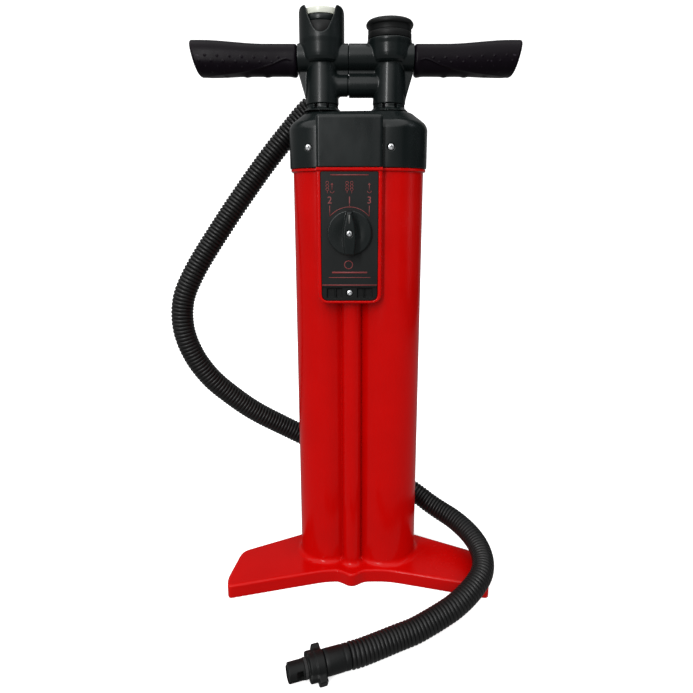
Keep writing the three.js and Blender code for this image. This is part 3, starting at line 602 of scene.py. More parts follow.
def make_hose():
    """A ringed tube along the route: broad crests with a narrow valley at each pitch."""
    line = smooth_route(HOSE_ROUTE)
    rings = round(evenly(line, 2)[1] / HOSE_PITCH)
    count = rings * RING_SECTIONS + 1
    centres, length = evenly(line, count)
    ahead = np.gradient(centres, axis=0)
    ahead /= np.linalg.norm(ahead, axis=1)[:, None]
    side = np.cross(ahead[0], (0.0, 1.0, 0.0))
    angles = np.arange(HOSE_SIDES) * 2 * math.pi / HOSE_SIDES
    points = []
    for i in range(count):
        side = side - ahead[i] * np.dot(side, ahead[i])
        side /= np.linalg.norm(side)
        across = np.cross(ahead[i], side)
        press = max(0.0, math.cos(2 * math.pi * i / RING_SECTIONS)) ** 2
        radius = HOSE_CREST - (HOSE_CREST - HOSE_VALLEY) * press
        circle = np.cos(angles)[:, None] * side + np.sin(angles)[:, None] * across
        points.append(centres[i] + radius * circle)
    faces = []
    for i in range(count - 1):
        for j in range(HOSE_SIDES):
            k = (j + 1) % HOSE_SIDES
            here, there = i * HOSE_SIDES, (i + 1) * HOSE_SIDES
            faces.append((here + j, here + k, there + k, there + j))
    last = (count - 1) * HOSE_SIDES
    faces.append(tuple(reversed(range(HOSE_SIDES))))
    faces.append(tuple(range(last, last + HOSE_SIDES)))
    hose = new_piece(
        "hose_ringed", np.concatenate(points), faces, "barrels", HOSE, ["hose"], sharp=75,
    )
    return hose, centres, length


hose, hose_line, hose_length = make_hose()

# ---------------------------------------------------------------- hose cuff and valve adapter
CUFF_LENGTH = 24.0
ADAPTER_START = CUFF_LENGTH + 0.6
WING_TILT = -22.0


def spun(vector, axis, degrees):
    return np.array(Matrix.Rotation(math.radians(degrees), 3, Vector(axis)) @ Vector(vector))


def make_cuff():
    profile = [
        (7.0, 0.6), (10.8, 0.6), (11.4, 1.4), (11.4, 5.0), (11.1, 5.4), (11.1, 6.6), (11.4, 7.0),
        (11.5, 20.0), (11.4, CUFF_LENGTH), (7.0, CUFF_LENGTH),
    ]
    return turned_piece(
        "hose_cuff_moulded", profile, "barrels", MATTE, ["hose_cuff"],
        origin=HOSE_END, basis=frame_from(END_DIRECTION),
    )


def adapter_field(x, y, z):
    """Collar with two wings and two lobes, and a nose with bayonet hooks; z is along the hose."""
    away = np.hypot(x, y)
    body = both(away - 12, slab(z, 0, 8), 1.1)
    body = either(body, both(away - 11.2, slab(z, 4, 13.8), 1.6), 0.6)
    body = either(body, brick(x, y, z, (-4.5, 4.5), (-17.6, 17.6), (0, 8), 1.5), 1.5)
    lobes = both(np.hypot(x, np.abs(y) - 9.4) - 4.7, slab(z, 5, 15), 1.6)
    body = either(body, lobes, 1.2)
    body = either(body, both(away - 8.8, slab(z, 4, 33), 1.2), 0.8)
    slots = []
    for side in (-1, 1):
        u, v = x * side, y * side
        slots.append(brick(u, v, z, (-2.2, 4.6), (4, 12), (22, 36), 0.3))
        slots.append(brick(u, v, z, (-7, 4.6), (3, 12), (20, 26), 0.8))
    cuts = np.minimum(np.minimum(slots[0], slots[1]), np.minimum(slots[2], slots[3]))
    groove = both(both(7.7 - away, away - 13), slab(z, 15.5, 18.5))
    return without(without(without(body, cuts, 0.3), groove, 0.2), away - 6, 0.4)


def make_adapter():
    across = unit(*np.cross((0, 0, 1), END_DIRECTION))
    wing = spun(across, END_DIRECTION, WING_TILT)
    basis = np.array([np.cross(wing, END_DIRECTION), wing, END_DIRECTION])
    grid = (levels(-15.5, 15.5, 0.45), levels(-18.6, 18.6, 0.45), levels(-1, 34, 0.45))
    points, faces, normals = skin(adapter_field, *grid, smooth=0.15)
    return new_piece(
        "valve_adapter_moulded", placed(points, past_end(ADAPTER_START), basis), faces, "adapter",
        MATTE, ["valve_adapter"], normals=normals @ basis,
    )


cuff = make_cuff()
adapter = make_adapter()

# ---------------------------------------------------------------- red body
FOOT_SIDE = [
    (34, -43.4, 12), (139.5, -71, 5), (142.5, -56, 7), (136, -8, 9), (67, 28, 14), (36, 46, 12),
]
FOOT_NOSE = [(RIB[0] - 14, -43.6, 6), (RIB[0], -53.6, 8), (RIB[0] + 14, -43.6, 6)]
FOOT_OUTLINE = rounded(
    FOOT_NOSE
    + [(BODY_X + x, y, reach) for x, y, reach in FOOT_SIDE]
    + [(BODY_X - x, y, reach) for x, y, reach in reversed(FOOT_SIDE)]
)
POCKETS = [
    rounded([(BODY_X + side * x, y, 3) for x, y in corners])
    for corners in (
        ((102, -51), (127, -57), (127, -16), (102, -2)),
        ((72, -43), (97, -49), (97, 0.5), (72, 13)),
    )
    for side in (1, -1)
]


def cartridge_outline(outset):
    half = 27.4 + outset
    low, high = 320.3 - outset, 444 + outset
    return rounded([
        (PANEL_X - half, low, 7), (PANEL_X + half, low, 7),
        (PANEL_X + half, high, 2), (PANEL_X - half, high, 2),
    ])


RECESS_OUTLINE = cartridge_outline(0.3)
PANEL_SIDES = (PANEL_X - PANEL_HALF, PANEL_X + PANEL_HALF)
PANEL_OUTLINE = rounded([
    (PANEL_SIDES[0], PANEL_BOTTOM, 10), (PANEL_SIDES[1], PANEL_BOTTOM, 10),
    (PANEL_SIDES[1], 470, 0), (PANEL_SIDES[0], 470, 0),
])


def body_field(x, y, z):
    left = tube(x, y, LEFT_BARREL[0], 0, LEFT_BARREL[1])
    right = tube(x, y, RIGHT_BARREL[0], 0, RIGHT_BARREL[1])
    web = np.maximum(slab(x, RIB[0] - 8, RIB[0] + 8), slab(y, -20, 20))
    barrels = np.minimum(np.minimum(left, right), web)
    rib = np.maximum(tube(x, y, *RIB), z - RIB_TOP)
    column = both(either(barrels, rib, 1.2), slab(z, 1, BODY_TOP), 0.6)
    foot = both(both(polygon(x, y, FOOT_OUTLINE), z - FOOT_HEIGHT, 2.6), -z, 1.2)
    shape = either(column, foot, 6.0)
    panel = both(polygon(x, z, PANEL_OUTLINE), slab(y, PANEL_FRONT, -12), 1.6)
    shape = either(shape, np.maximum(panel, z - BODY_TOP), 2.0)
    rim = twin(x, y, LEFT_BARREL[1] + 2.2, RIGHT_BARREL[1] + 2.2)
    lip = np.maximum(
        slab(x, PANEL_SIDES[0] - 0.3, PANEL_SIDES[1] + 0.3), slab(y, PANEL_FRONT - 1.5, -12),
    )
    shape = either(shape, both(np.minimum(rim, lip), slab(z, 445, BODY_TOP), 0.7), 0.8)
    bracket = brick(
        x, y, z, (OUTLET[0] - 15, OUTLET[0] + 15), (10, OUTLET[1] + 15), (440, BODY_TOP), 1.2,
    )
    shape = either(shape, bracket, 1.0)
    bores = np.minimum(
        tube(x, y, LEFT_BARREL[0], 0, LEFT_BARREL[2]),
        tube(x, y, RIGHT_BARREL[0], 0, RIGHT_BARREL[2]),
    )
    shape = without(shape, np.maximum(bores, 15 - z), 0.5)
    shape = without(shape, np.maximum(twin(x, y, LEFT_BARREL[2], RIGHT_BARREL[2]), z - 9), 0.4)
    shape = without(shape, np.maximum(tube(x, y, RIB[0], RIB[1], 6), 6 - z))
    for outline in POCKETS:
        shape = without(shape, both(polygon(x, y, outline), z - 11, 1.0), 0.8)
    shape = without(shape, np.maximum(polygon(x, z, RECESS_OUTLINE), y + 37), 0.5)
    return without(shape, np.maximum(tube(x, z, PANEL_X, KNOB_Z, 14), slab(y, -38, -28)))


def make_body():
    xs = levels(
        -143, 148.5, 1.7, (-40, -31, 0.6), (-14, 6, 1.2), (19, 28, 0.6),
    )
    ys = levels(-74, 60, 1.7, (-50, -36, 0.6))
    zs = levels(
        -2.5, 452, 12, (-3, 34, 1.4), (312, 318, 2), (318, 332, 0.6), (332, 372, 8), (372, 402, 2),
        (402, 436, 8), (436, 442, 1.2), (442, 452, 0.6),
    )
    points, faces, normals = skin(body_field, xs, ys, zs, smooth=0.35)
    points[:, 2] = np.maximum(points[:, 2], 0)
    return new_piece(
        "barrel_body_moulded", points, faces, "barrels", RED, ["barrel_body"],
        normals=normals,
    )


# ---------------------------------------------------------------- screws
def screw_field(x, y, z, shank, grip, head, thick):
    """Pan head with a cross recess on a plain shank; z runs from the tip to the head."""
    away = np.hypot(x, y)
    top = grip + thick
    crown = np.sqrt(away ** 2 + (z - top + 2.4 * head) ** 2) - 2.4 * head
    pan = both(both(away - head, slab(z, grip, top + 0.5), 0.35), crown, 0.2)
    arm_x = np.maximum(np.abs(x) - 0.42, np.abs(y) - 0.58 * head)
    arm_y = np.maximum(np.abs(y) - 0.42, np.abs(x) - 0.58 * head)
    cross = np.maximum(np.minimum(arm_x, arm_y), top - 1.5 + 0.7 * away - z)
    return either(without(pan, cross, 0.08), np.maximum(away - shank, slab(z, 0, grip + 0.3)))


def make_screw(name, node, sizes, origin, direction, body):
    shank, grip, head, thick = sizes
    side = levels(-head - 0.4, head + 0.4, 0.17)
    zs = levels(-1.2, grip + thick + 0.6, 1.2, (grip - 0.6, grip + thick + 1, 0.15))
    points, faces, normals = skin(
        lambda x, y, z: screw_field(x, y, z, *sizes), side, side, zs, smooth=0.05,
    )
    basis = frame_from(direction) if abs(direction[2]) < 0.9 else frame_from(direction, (0, 1, 0))
    return new_piece(
        name, placed(points, origin, basis), faces, body, STEEL, [node],
        normals=normals @ basis,
    )


def twin_reach(x, left, right):
    """How far the twin outline reaches from y = 0 at a given x."""
    low, high = 0.0, 80.0
    for _ in range(40):
        middle = (low + high) / 2
        if twin(np.float64(x), np.float64(middle), left, right) < 0:
            low = middle
        else:
            high = middle
    return low


HEAD_LEFT = 33.6
HEAD_RIGHT = 38.9
HEAD_SCREWS = [
    (name, x, out, out * twin_reach(x, HEAD_LEFT, HEAD_RIGHT))
    for name, x, out in (
        ("front_left", PANEL_X - 39.5, -1),
        ("front_right", PANEL_X + 39.5, -1),
        ("rear_left", 5.0, 1),
        ("rear_right", 45.0, 1),
    )
]
BASE_SCREWS = [(-ROD_X, 18), (-ROD_X, -18), (ROD_X, 22), (ROD_X, -22)]


def make_screws():
    for name, x, out, y in HEAD_SCREWS:
        make_screw(
            f"head_screw_{name}_turned", f"head_screw_{name}", (1.5, 9, 2.9, 1.8),
            (x, y - out * 10.6, HEAD_SCREW_Z), (0, out, 0), "barrels",
        )
    make_screw(
        "cartridge_screw_turned", "cartridge_screw", (1.5, 11, 2.8, 1.8),
        (PANEL_X, -31.4, CARTRIDGE_SCREW_Z), (0, -1, 0), "barrels",
    )
    make_screw(
        "knob_screw_turned", "knob_screw", (1.4, 25, 2.9, 1.8),
        (PANEL_X, KNOB_FRONT + 28.2, KNOB_Z), (0, -1, 0), "selector",
    )
    for side, x in (("left", -ROD_X), ("right", ROD_X)):
        make_screw(
            f"handle_screw_{side}_turned", f"handle_screw_{side}", (1.7, 7.2, 3, 1.6),
            (x, 6.1, HANDLE_SCREW_Z), (0, 1, 0), "handle",
        )
    for i, (x, y) in enumerate(BASE_SCREWS):
        make_screw(
            f"base_screw_{i + 1}_turned", f"base_screw_{i + 1}", (1.5, 10.6, 3.2, 1.8),
            (x, y, 13), (0, 0, -1), "barrels",
        )


# ---------------------------------------------------------------- head cover and gland nuts
HEAD_BOTTOM = 448.3
HEAD_SHOULDER = 489.5
HEAD_ROOF = 502.4
HEAD_SLOPE = 17.0
HEAD_WALL = 3.0


def cover_shape(x, y, z, inset):
    """The cover's outside, or with an inset its inside."""
    wall = twin(x, y, HEAD_LEFT - inset, HEAD_RIGHT - inset)
    rise = HEAD_ROOF - HEAD_SHOULDER
    slope = rise * wall + HEAD_SLOPE * (z - HEAD_SHOULDER + 0.4 * inset)
    dome = both(both(wall, slope / math.hypot(rise, HEAD_SLOPE), 4.0), z - HEAD_ROOF + inset, 2.0)
    bump = brick(
        x, y, z, (PANEL_SIDES[0] + inset, PANEL_SIDES[1] - inset), (-48.3 + inset, -18),
        (400, 495.4 - inset), 3.0,
    )
    rear = brick(
        x, y, z, (OUTLET[0] - 15 + inset, OUTLET[0] + 15 - inset), (8, OUTLET[1] + 15 - inset),
        (400, 498 - inset), 3.0,
    )
    return either(either(dome, bump, 0.6), rear, 1.5)


def cover_field(x, y, z):
    shape = without(cover_shape(x, y, z, 0.0), cover_shape(x, y, z, HEAD_WALL))
    shape = both(shape, HEAD_BOTTOM - z, 0.5)
    for rod_x in (-ROD_X, ROD_X):
        shape = without(shape, np.maximum(tube(x, y, rod_x, 0, 13.4), 480 - z), 0.4)
    shape = without(shape, np.maximum(tube(x, y, *OUTLET, 9.5), 480 - z), 0.4)
    for _, screw_x, out, screw_y in HEAD_SCREWS:
        depth = (y - screw_y) * out
        seat = np.maximum(tube(x, z, screw_x, HEAD_SCREW_Z, 3.5), -depth - 1.9)
        hole = np.maximum(tube(x, z, screw_x, HEAD_SCREW_Z, 1.9), -depth - 6)
        shape = without(shape, np.maximum(np.minimum(seat, hole), depth - 5), 0.35)
    return shape


def make_cover():
    xs = levels(-69, 74, 1.15, (-50, -34, 0.6), (22, 38, 0.6))
    ys = levels(-51, 58, 1.15, (-50, -30, 0.7))
    zs = levels(446, 505, 1.15, (446, 451, 0.7), (461, 473, 0.7))
    return moulded(
        "head_cover_moulded", cover_field, (xs, ys, zs), "barrels", BLACK,
        ["head_cover"], smooth=0.3,
    )


def nut_field(x, y, z):
    """Castellated gland nut: a cone flange under a crown with eight slots."""
    away = np.hypot(x, y)
    flange = both((away + 1.0 * (z - 503.3) - 19.0) / 1.41, slab(z, 503.3, 506.9), 0.3)
    crown = both(both(away - 15.6, 10.5 - away), slab(z, 503.3, 509.5), 0.4)
    spigot = both(away - 11.6, slab(z, 497.3, 505.2), 0.3)
    nut = without(either(either(flange, crown, 0.5), spigot), away - 8.5, 0.2)
    slots = np.full(np.broadcast(x, y).shape, np.inf)
    for i in range(4):
        angle = (i + 0.5) * math.pi / 4
        slots = np.minimum(slots, np.abs(x * math.sin(angle) - y * math.cos(angle)) - 1.5)
    return without(nut, np.maximum(slots, 505.2 - z), 0.25)


def make_gland_nuts():
    side = levels(-19.8, 19.8, 0.45)
    points, faces, normals = skin(nut_field, side, side, levels(496.4, 510.4, 0.42), smooth=0.12)
    for name, x in (("left", -ROD_X), ("right", ROD_X)):
        new_piece(
            f"gland_nut_{name}_moulded", points + np.array([x, 0, 0]), faces, "barrels", BLACK,
            [f"gland_nut_{name}"], normals=normals,
        )


# ---------------------------------------------------------------- hose outlet
def elbow_field(x, y, z):
    away = np.hypot(x - OUTLET[0], y - OUTLET[1])
    along, off = along_axis(x, y, z, (*OUTLET, OUTLET_BEND), OUT_DIRECTION)
    riser = both(away - 9, slab(z, 493.3, OUTLET_BEND), 0.6)
    ball = np.sqrt(away ** 2 + (z - OUTLET_BEND) ** 2) - 9
    spout = np.maximum(off - 8, slab(along, 0, OUTLET_LENGTH - 1))
    flange = both(off - 11.6, slab(along, OUTLET_LENGTH - 2.4, OUTLET_LENGTH), 0.5)
    shape = either(either(np.minimum(riser, ball), spout, 1.5), flange, 1.2)
    shape = either(shape, both(away - 7.6, slab(z, 482, 494), 0.4))
    shape = without(shape, np.maximum(np.maximum(6 - away, away - 11), slab(z, 485.7, 488.8)))
    shape = without(shape, np.maximum(away - 4.8, z - OUTLET_BEND))
    return without(shape, np.maximum(off - 5.4, -along), 0.3)


def make_outlet():
    grid = (levels(-60, -17, 0.75), levels(28, 53, 0.75), levels(480, 543, 0.75))
    moulded(
        "hose_elbow_moulded", elbow_field, grid, "barrels", BLACK, ["hose_elbow"],
        smooth=0.25,
    )
    nut = [(9.3, 498.3), (13.0, 498.3), (13.0, 504.0), (9.3, 504.0)]
    turned_piece(
        "outlet_nut_fluted", nut, "barrels", BLACK, ["outlet_nut"], bevel=0.8,
        origin=(*OUTLET, 0), sides=96, flutes=16, depth=0.9,
    )


# ---------------------------------------------------------------- selector
CHIN_TOP = 334.8


def cartridge_field(x, y, z):
    shape = both(polygon(x, z, CARTRIDGE_OUTLINE), slab(y, -44.9, -37.3), 0.3)
    lip = brick(
        x, y, z, (PANEL_X - 27.4, PANEL_X + 27.4), (PANEL_FRONT, -43),
        (CHIN_TOP - 1.4, CHIN_TOP), 0.3,
    )
    boss = np.maximum(tube(x, z, PANEL_X, KNOB_Z, 13.6), slab(y, -38, -28.3))
    shape = np.minimum(np.minimum(shape, lip), boss)
    shape = without(shape, tube(x, z, PANEL_X, KNOB_Z, 10.8))
    across = np.abs(x - PANEL_X)
    pockets = brick(across, y, z, (7.5, 22.5), (-50, -42.2), (322.8, 332.6), 0.8)
    shape = without(shape, pockets, 0.3)
    shape = either(shape, brick(across, y, z, (13.6, 14.8), (-44.7, -41), (322.5, 333), 0.2))
    seat = np.maximum(tube(x, z, PANEL_X, CARTRIDGE_SCREW_Z, 3.6), y + 42)
    return without(without(shape, seat, 0.3), tube(x, z, PANEL_X, CARTRIDGE_SCREW_Z, 1.9))


CARTRIDGE_OUTLINE = cartridge_outline(0.0)


def spindle(half_height, half_width, count=24):
    """Outline of the knob's finger bar: a narrow top, full below the middle."""
    right = []
    for i in range(count + 1):
        height = half_height * math.sin(math.pi * (i / count - 0.5))
        share = (height + 4.0) / (half_height + (4.0 if height > -4 else -4.0))
        narrow = 2.3 if height > -4 else 4.2
        right.append((narrow + (half_width - narrow) * math.cos(math.pi / 2 * share), height))
    left = [(-width, height) for width, height in reversed(right)]
    return [(PANEL_X + width, KNOB_Z + height) for width, height in right + left]


FINGER_BAR = spindle(20.0, 6.2)


def knob_field(x, y, z):
    disc = both(tube(x, z, PANEL_X, KNOB_Z, 21.2), slab(y, -51, PANEL_FRONT - 0.3), 1.1)
    dish = np.sqrt((x - PANEL_X) ** 2 + (z - KNOB_Z) ** 2 + (y + 51 + 88) ** 2) - 89
    disc = without(disc, dish, 0.4)
    bar = both(polygon(x, z, FINGER_BAR), slab(y, KNOB_FRONT, -49), 1.6)
    shaft = np.maximum(tube(x, z, PANEL_X, KNOB_Z, 7.6), slab(y, -48, -43.5))
    shape = np.minimum(either(disc, bar, 1.2), shaft)
    seat = np.maximum(tube(x, z, PANEL_X, KNOB_Z, 3.5), y - KNOB_FRONT - 3.5)
    return without(without(shape, seat, 0.4), tube(x, z, PANEL_X, KNOB_Z, 1.9))


def make_selector():
    xs = levels(PANEL_X - 28.5, PANEL_X + 28.5, 0.8)
    zs = levels(318.8, 446, 0.8, (318.8, 340, 0.5))
    moulded(
        "selector_cartridge_moulded", cartridge_field, (xs, levels(-47.2, -27, 0.6), zs), "barrels",
        MATTE, ["selector_cartridge"], smooth=0.15,
    )
    side = levels(-22, 22, 0.42)
    moulded(
        "selector_knob_moulded", knob_field,
        (side + PANEL_X, levels(KNOB_FRONT - 1, -42.5, 0.42), side + KNOB_Z), "selector", BLACK,
        ["selector_knob"], smooth=0.15,
    )
    points, faces = [], []
    add_box(points, faces, (PANEL_X - 0.7, PANEL_X + 0.7), (KNOB_FRONT - 0.12, KNOB_FRONT + 0.3),
            (KNOB_Z + 9.5, KNOB_Z + 17.5))
    new_piece("selector_pointer", points, faces, "selector", WHITE)


def add_box(points, faces, xs, ys, zs):
    """Adds a closed box to the lists."""
    start = len(points)
    points.extend((x, y, z) for z in zs for y in ys for x in xs)
    sides = ((0, 2, 3, 1), (4, 5, 7, 6), (0, 1, 5, 4), (2, 6, 7, 3), (0, 4, 6, 2), (1, 3, 7, 5))
    faces.extend(tuple(start + k for k in side) for side in sides)


# ---------------------------------------------------------------- print on the selector plate
PRINT_BACK = PANEL_FRONT + 0.02
PRINT_FRONT = PANEL_FRONT - 0.13


def add_prism(points, faces, outline, back, front, upright):
    """Adds an outline as a thin closed slab: in x and z facing -Y, or in x and y facing up."""
    start, count = len(points), len(outline)
    for depth in (back, front):
        points.extend((u, depth, v) if upright else (u, v, depth) for u, v in outline)
    low = list(range(start, start + count))
    high = list(range(start + count, start + 2 * count))
    area = sum(a[0] * b[1] - b[0] * a[1] for a, b in zip(outline, outline[1:] + outline[:1]))
    if (area > 0) != upright:
        low, high = low[::-1], high[::-1]
    faces.append(tuple(high))
    faces.append(tuple(low[::-1]))
    for i in range(count):
        j = (i + 1) % count
        faces.append((low[i], low[j], high[j], high[i]))


def stroke(start, end, width):
    """The outline of a straight line."""
    (ax, ay), (bx, by) = start, end
    length = math.hypot(bx - ax, by - ay)
    nx, ny = -(by - ay) / length * width / 2, (bx - ax) / length * width / 2
    return [(ax - nx, ay - ny), (bx - nx, by - ny), (bx + nx, by + ny), (ax + nx, ay + ny)]


def arc_strip(cx, cy, radius, start, end, width, steps):
    """The outline of part of a ring; degrees are clockwise from the top."""
    angles = [math.radians(start + (end - start) * i / steps) for i in range(steps + 1)]
    outer, inner = (
        [(cx + r * math.sin(a), cy + r * math.cos(a)) for a in angles]
        for r in (radius + width / 2, radius - width / 2)
    )
    return outer + inner[::-1]


def arrow(cx, cy, size, up):
    """A small arrow head."""
    tip = size if up else -size
    return [(cx - size * 0.8, cy), (cx + size * 0.8, cy), (cx, cy + tip)]


def digit_mesh(text, size):
    """A printed number as flat triangles about its own middle."""
    curve = bpy.data.curves.new("digits", "FONT")
    curve.body = text
    curve.size = size
    curve.align_x = "CENTER"
    curve.align_y = "CENTER"
    curve.extrude = 0.07
    holder = bpy.data.objects.new("digits", curve)
    bpy.context.scene.collection.objects.link(holder)
    shown = holder.evaluated_get(bpy.context.evaluated_depsgraph_get())
    mesh = bpy.data.meshes.new_from_object(shown)
    points = [tuple(v.co) for v in mesh.vertices]
    faces = [tuple(p.vertices) for p in mesh.polygons]
    bpy.data.objects.remove(holder)
    bpy.data.curves.remove(curve)
    bpy.data.meshes.remove(mesh)
    return points, faces


def add_digits(points, faces, text, size, place):
    """Adds a number, with each of its points moved by place."""
    digits, digit_faces = digit_mesh(text, size)
    start = len(points)
    points.extend(place(*p) for p in digits)
    faces.extend(tuple(start + k for k in face) for face in digit_faces)


def barrel_icon(cx, cz, loops):
    """A small barrel seen from the front: two or three stacked loops on a stem."""
    outlines = [stroke((cx, cz - 5.4), (cx, cz - 3.2), 0.5)]
    for i in range(loops):
        middle = cz - 1.6 + 3.0 * i
        for start in (0, 180):
            outlines.append(arc_strip(cx, middle, 1.35, start, start + 180, 0.5, 8))
    return outlines


def arrow_icon(cx, cz):
    """A small arrow that points up over a cup."""
    return [
        stroke((cx, cz - 2.5), (cx, cz + 3.0), 0.55),
        arrow(cx, cz + 2.4, 1.9, True),
        arc_strip(cx, cz - 3.0, 1.9, 90, 270, 0.5, 8),
        stroke((cx, cz - 5.6), (cx, cz - 4.6), 0.5),
    ]


MARKS_X = 18.9  # from the middle of the plate to the outer numbers
ARC_RADIUS = 24.3


def make_print():
    """Scale arc with its ticks, numbers and icons, ruled lines and a plain ring."""
    points, faces = [], []
    end = math.degrees(math.asin(MARKS_X / ARC_RADIUS))
    tick_foot = KNOB_Z + math.sqrt(ARC_RADIUS ** 2 - MARKS_X ** 2)
    outlines = [
        arc_strip(PANEL_X, KNOB_Z, ARC_RADIUS, -end, end, 0.55, 40),
        stroke((PANEL_X, KNOB_Z + ARC_RADIUS), (PANEL_X, KNOB_Z + 26.6), 0.5),
        stroke((PANEL_X - 18.0, 441), (PANEL_X + 18.0, 441), 1.0),
        stroke((PANEL_X - 17.2, 348.4), (PANEL_X + 17.2, 348.4), 1.5),
        stroke((PANEL_X - 20.4, 343.5), (PANEL_X + 20.4, 343.5), 0.6),
        stroke((PANEL_X - 27.0, 336.0), (PANEL_X + 27.0, 336.0), 0.9),
    ]
    for x in (-MARKS_X, MARKS_X):
        outlines.append(stroke((PANEL_X + x, tick_foot), (PANEL_X + x, KNOB_Z + 25.6), 0.55))
    for start in (0, 180):
        outlines.append(arc_strip(PANEL_X - 1, 356.0, 3.9, start, start + 180, 0.8, 16))
    icons_z = KNOB_Z + 42.3
    outlines += barrel_icon(PANEL_X - MARKS_X - 2.1, icons_z, 3)
    outlines += arrow_icon(PANEL_X - MARKS_X + 2.4, icons_z)
    outlines += barrel_icon(PANEL_X - 2.2, icons_z, 3)
    outlines += barrel_icon(PANEL_X + 2.2, icons_z, 3)
    outlines += arrow_icon(PANEL_X + MARKS_X, icons_z)
    for outline in outlines:
        add_prism(points, faces, outline, PRINT_BACK, PRINT_FRONT, True)
    for text, x in (("2", -MARKS_X), ("1", 0.0), ("3", MARKS_X)):
        add_digits(
            points, faces, text, 9.4,
            lambda u, v, w, x=x: (PANEL_X + x + u, PANEL_FRONT - 0.06 - w, KNOB_Z + 30.4 + v),
        )
    new_piece("selector_print", points, faces, "barrels", PRINT)


# ---------------------------------------------------------------- handle
GRIP_INNER = 57.0
GRIP_OUTER = 161.3
GRIP_BOTTOM = 535.9
# Turned outlines of the two towers, as radius and height.
POD_FOOT = [(0, 547.4), (14.0, 547.4), (16.6, 548.0), (18.6, 549.6), (19.8, 552.0), (20.4, 555.0)]
POD_PROFILE = POD_FOOT + [(20.9, 560), (21.3, 564), (22, 568), (22, 596), (21.4, 596.8), (0, 596.8)]
CUP_PROFILE = POD_FOOT + [(20.9, 563.4), (21.7, 566.4), (21.7, 568.4), (21.1, 569), (0, 569)]
HORNS = rounded([(-22.3, 530, 0), (22.3, 530, 0), (22.3, 597.1, 6.5), (-22.3, 597.1, 6.5)])
GUSSET = [(5.0, 512.0), (15.5, 512.0), (23.0, 538.0), (23.0, 552.0), (5.0, 552.0)]


def half_handle(x, y, z, out):
    """A column, its side of the bar, its gusset and the core inside the grip."""
    away = np.hypot(x - out * ROD_X, y)
    flare = 1.9 * np.clip((545 - z) / 35, 0, 1)
    column = both(away - 14.3 - flare, slab(z, 510, 552), 0.7)
    seam = SPLIT_X + out * 0.15
    bar_ends = (-GRIP_INNER + 0.3, seam) if out < 0 else (seam, GRIP_INNER - 0.3)
    bar = both(tube(y, z, 0, BAR_Z, 12.7), slab(x, *bar_ends), 0.6)
    reach = x * out - GRIP_INNER - 43.0
    core = both(tube(y, z, 0, BAR_Z - 1, 9), np.abs(reach) - 44, 0.6)
    web = both(polygon(x * out - ROD_X, z, GUSSET), np.abs(y) - 2.5, 0.6)
    shape = either(column, bar, 1.2)
    shape = either(shape, web, 1.2)
    return np.minimum(shape, core)


def bored(shape, x, y, z, out):
    """The column's bore for its rod, and the cross screw's hole at the back."""
    away = np.hypot(x - out * ROD_X, y)
    bore = np.minimum(np.maximum(away - 8.3, z - 556), np.maximum(away - 5, z - 575))
    cross = tube(x, z, out * ROD_X, HANDLE_SCREW_Z, 2.1)
    seat = np.maximum(tube(x, z, out * ROD_X, HANDLE_SCREW_Z, 3.5), 13 - y)
    return without(without(shape, np.maximum(np.minimum(cross, seat), -y), 0.25), bore, 0.3)


SCOOP = rounded([
    (-5.0, 572.0, 5.5), (5.0, 572.0, 5.5), (10.5, 583.5, 6), (13.2, 590, 4), (13.4, 594.4, 3),
    (17.5, 600, 0), (17.5, 604, 0), (-17.5, 604, 0), (-17.5, 600, 0), (-13.4, 594.4, 3),
    (-13.2, 590, 4), (-10.5, 583.5, 6),
])


def left_handle_field(x, y, z):
    away = np.hypot(x + ROD_X, y)
    shape = half_handle(x, y, z, -1)
    pod = both(polygon(away, z, POD_PROFILE), polygon(x + ROD_X, z, HORNS), 0.6)
    shape = either(shape, pod, 0.6)
    collar = both(tube(y, z, 0, BRIDGE_Z, 10.1), slab(x, -ROD_X, SPLIT_X - 1), 0.5)
    spigot = both(tube(y, z, 0, BRIDGE_Z, 9), slab(x, -ROD_X, SPLIT_X + 10), 0.8)
    slit = brick(x, y, z, (-ROD_X, SPLIT_X - 0.15), (-4, 4), (BRIDGE_Z, 545), 0.5)
    tenon = both(tube(y, z, 0, BAR_Z, 11), slab(x, -ROD_X, 0), 0.5)
    tongue = brick(x, y, z, (SPLIT_X - 2, SPLIT_X + 2), (-1.5, 1.5), (539.7, 540.8), 0.1)
    shape = np.minimum(shape, np.minimum(tenon, tongue))
    shape = either(either(shape, np.minimum(collar, spigot), 3.0), slit, 0.8)
    shape = bored(shape, x, y, z, -1)
    shape = without(shape, np.maximum(away - 19, 570 - z), 0.6)
    return without(shape, polygon(x + ROD_X, z, SCOOP), 0.9)


def right_handle_field(x, y, z):
    away = np.hypot(x - ROD_X, y)
    shape = half_handle(x, y, z, 1)
    shape = either(shape, polygon(away, z, CUP_PROFILE), 0.6)
    lugs = brick(x, y, z, (ROD_X - 23.5, ROD_X + 23.5), (-5, 5), (559.5, 565.5), 1.2)
    shape = either(shape, lugs, 0.8)
    socket = both(tube(y, z, 0, BRIDGE_Z, 11.25), slab(x, SPLIT_X + 0.3, ROD_X), 0.7)
    slit = brick(x, y, z, (SPLIT_X + 0.15, ROD_X), (-4, 4), (538.5, 545), 0.5)
    shape = either(either(shape, socket, 0.8), slit, 0.8)
    shape = without(shape, np.maximum(tube(y, z, 0, BRIDGE_Z, 9.5), slab(x, SPLIT_X - 5, 4)), 0.4)
    shape = without(shape, np.maximum(tube(y, z, 0, BAR_Z, 11.3), slab(x, SPLIT_X - 5, 0.3)), 0.3)
    slot = brick(x, y, z, (SPLIT_X - 2, SPLIT_X + 2.3), (-1.8, 1.8), (539.4, 541.1))
    shape = without(shape, slot)
    shape = bored(shape, x, y, z, 1)
    return without(shape, np.maximum(away - 18, 557 - z), 0.5)


